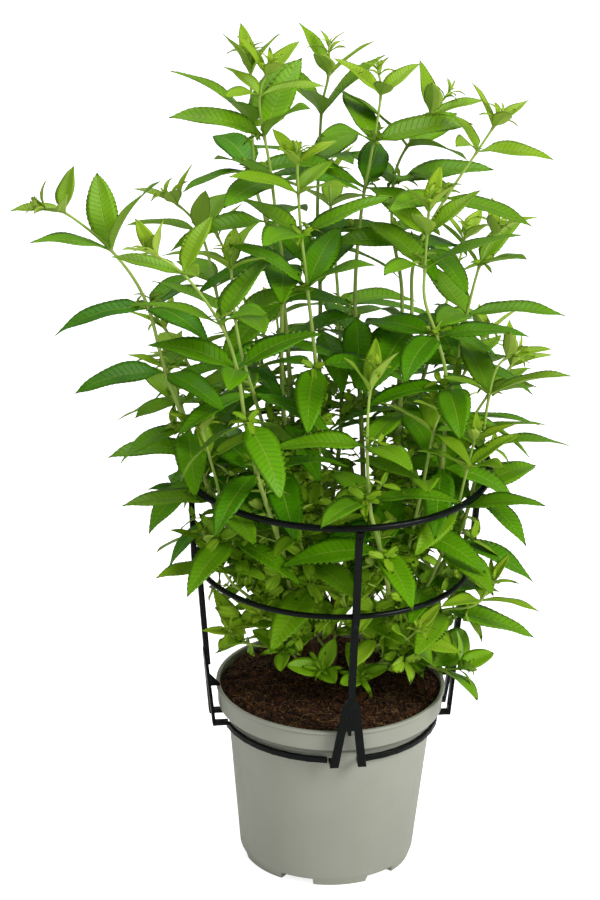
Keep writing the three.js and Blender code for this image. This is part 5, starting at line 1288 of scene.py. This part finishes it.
leaf_count = 0
for number, (kind, route, whorls) in enumerate(SHOOTS, 1):
    node = f"shoot_{number:02}"
    luck = np.random.default_rng(number)
    length, at = route_through(route)
    whorls = whorls_of(kind, whorls, length)
    share = np.linspace(0, 1, max(6, round(length / STEM_STEP)))
    centres, directions = at(share)
    radii = STEM_FILL * (STEM_TIP_RADIUS + min(length, LONGEST_TAPER) * STEM_TAPER * (1 - share))
    below_tip = (1 - share) * length
    to_whorl = np.abs(below_tip[:, None] - [whorl[0] for whorl in whorls]).min(axis=1)
    joint = np.exp(-((to_whorl / STEM_JOINT_LENGTH) ** 2))
    ribs = 1 + 0.07 * np.cos(3 * around(STEM_SIDES))
    points, faces = tube(centres, directions, (radii + STEM_SWELLING * joint)[:, None] * ribs, STEM_SIDES)
    stem_youth = np.exp(-below_tip / STEM_YOUTH)
    new_piece(
        node + "_stem", points, faces, STEM_SKIN, [node],
        point_values={
            "youth": by_row(stem_youth, STEM_SIDES, stem_youth[[0, -1]]),
            "joint": by_row(joint, STEM_SIDES, [0, 0]),
        },
    )
    main = solid_leaves(node, kind, whorls, length, at, number)
    leaf_count += len(main)
    small, twigs = side_twigs(kind, whorls, length, at, luck)
    foliage_piece(node, kind, main, tuft(whorls[0][1], length, at, luck) + small, luck)
    twig_piece(node, twigs)
print("leaves matched", leaf_count)

# ------------------------------------------------------------------ studio
# A plain pale floor and three large soft lamps: the brightest one high on the right.
FLOOR_HALF_WIDTH = 9.0
LAMPS = (                           # name, place, size across, watts
    ("key", (3.0, -2.2, 2.8), 2.0, 124),
    ("fill", (-2.6, -3.2, 1.2), 3.0, 20),
    ("top", (-0.4, 1.2, 3.6), 2.4, 60),
)
LAMPS_AIM_AT = (0, 0, 0.3)
SKY = 0.22                          # its light on things; the camera sees it plain white
FLOOR_GLOW = 0.8                    # seen by the camera alone, it keeps the floor white

corners = FLOOR_HALF_WIDTH * np.array([(-1, -1, 0), (1, -1, 0), (1, 1, 0), (-1, 1, 0)])
floor_mesh = bpy.data.meshes.new("studio_floor")
floor_mesh.from_pydata(corners.tolist(), [], [(0, 1, 2, 3)])
floor = bpy.data.objects.new("studio_floor", floor_mesh)
bpy.context.scene.collection.objects.link(floor)
floor_material, tree = new_material("pale_floor")
surfaced(tree, "#f4f4f2", 0.9)
sockets = tree.nodes["Principled BSDF"].inputs
sockets["Emission Color"].default_value = (1, 1, 1, 1)
seen = tree.nodes.new("ShaderNodeLightPath").outputs["Is Camera Ray"]
feed(tree, sockets["Emission Strength"], times(tree, seen, FLOOR_GLOW))
floor_mesh.materials.append(floor_material)

for name, place, size, watts in LAMPS:
    lamp = bpy.data.lights.new(name, "AREA")
    lamp.size = size
    lamp.energy = watts
    holder = bpy.data.objects.new(name, lamp)
    aim = Vector(LAMPS_AIM_AT) - Vector(place)
    holder.matrix_world = Matrix.Translation(place) @ aim.to_track_quat("-Z", "Y").to_matrix().to_4x4()
    bpy.context.scene.collection.objects.link(holder)

world = bpy.data.worlds.new("studio")
world.use_nodes = True
tree = world.node_tree
background = tree.nodes["Background"].inputs
background["Color"].default_value = (1, 1, 1, 1)
in_view = tree.nodes.new("ShaderNodeLightPath").outputs["Is Camera Ray"]
feed(tree, background["Strength"], reckon(tree, "MULTIPLY_ADD", in_view, 1 - SKY, SKY))
bpy.context.scene.world = world
bpy.context.scene.view_settings.view_transform = "Standard"
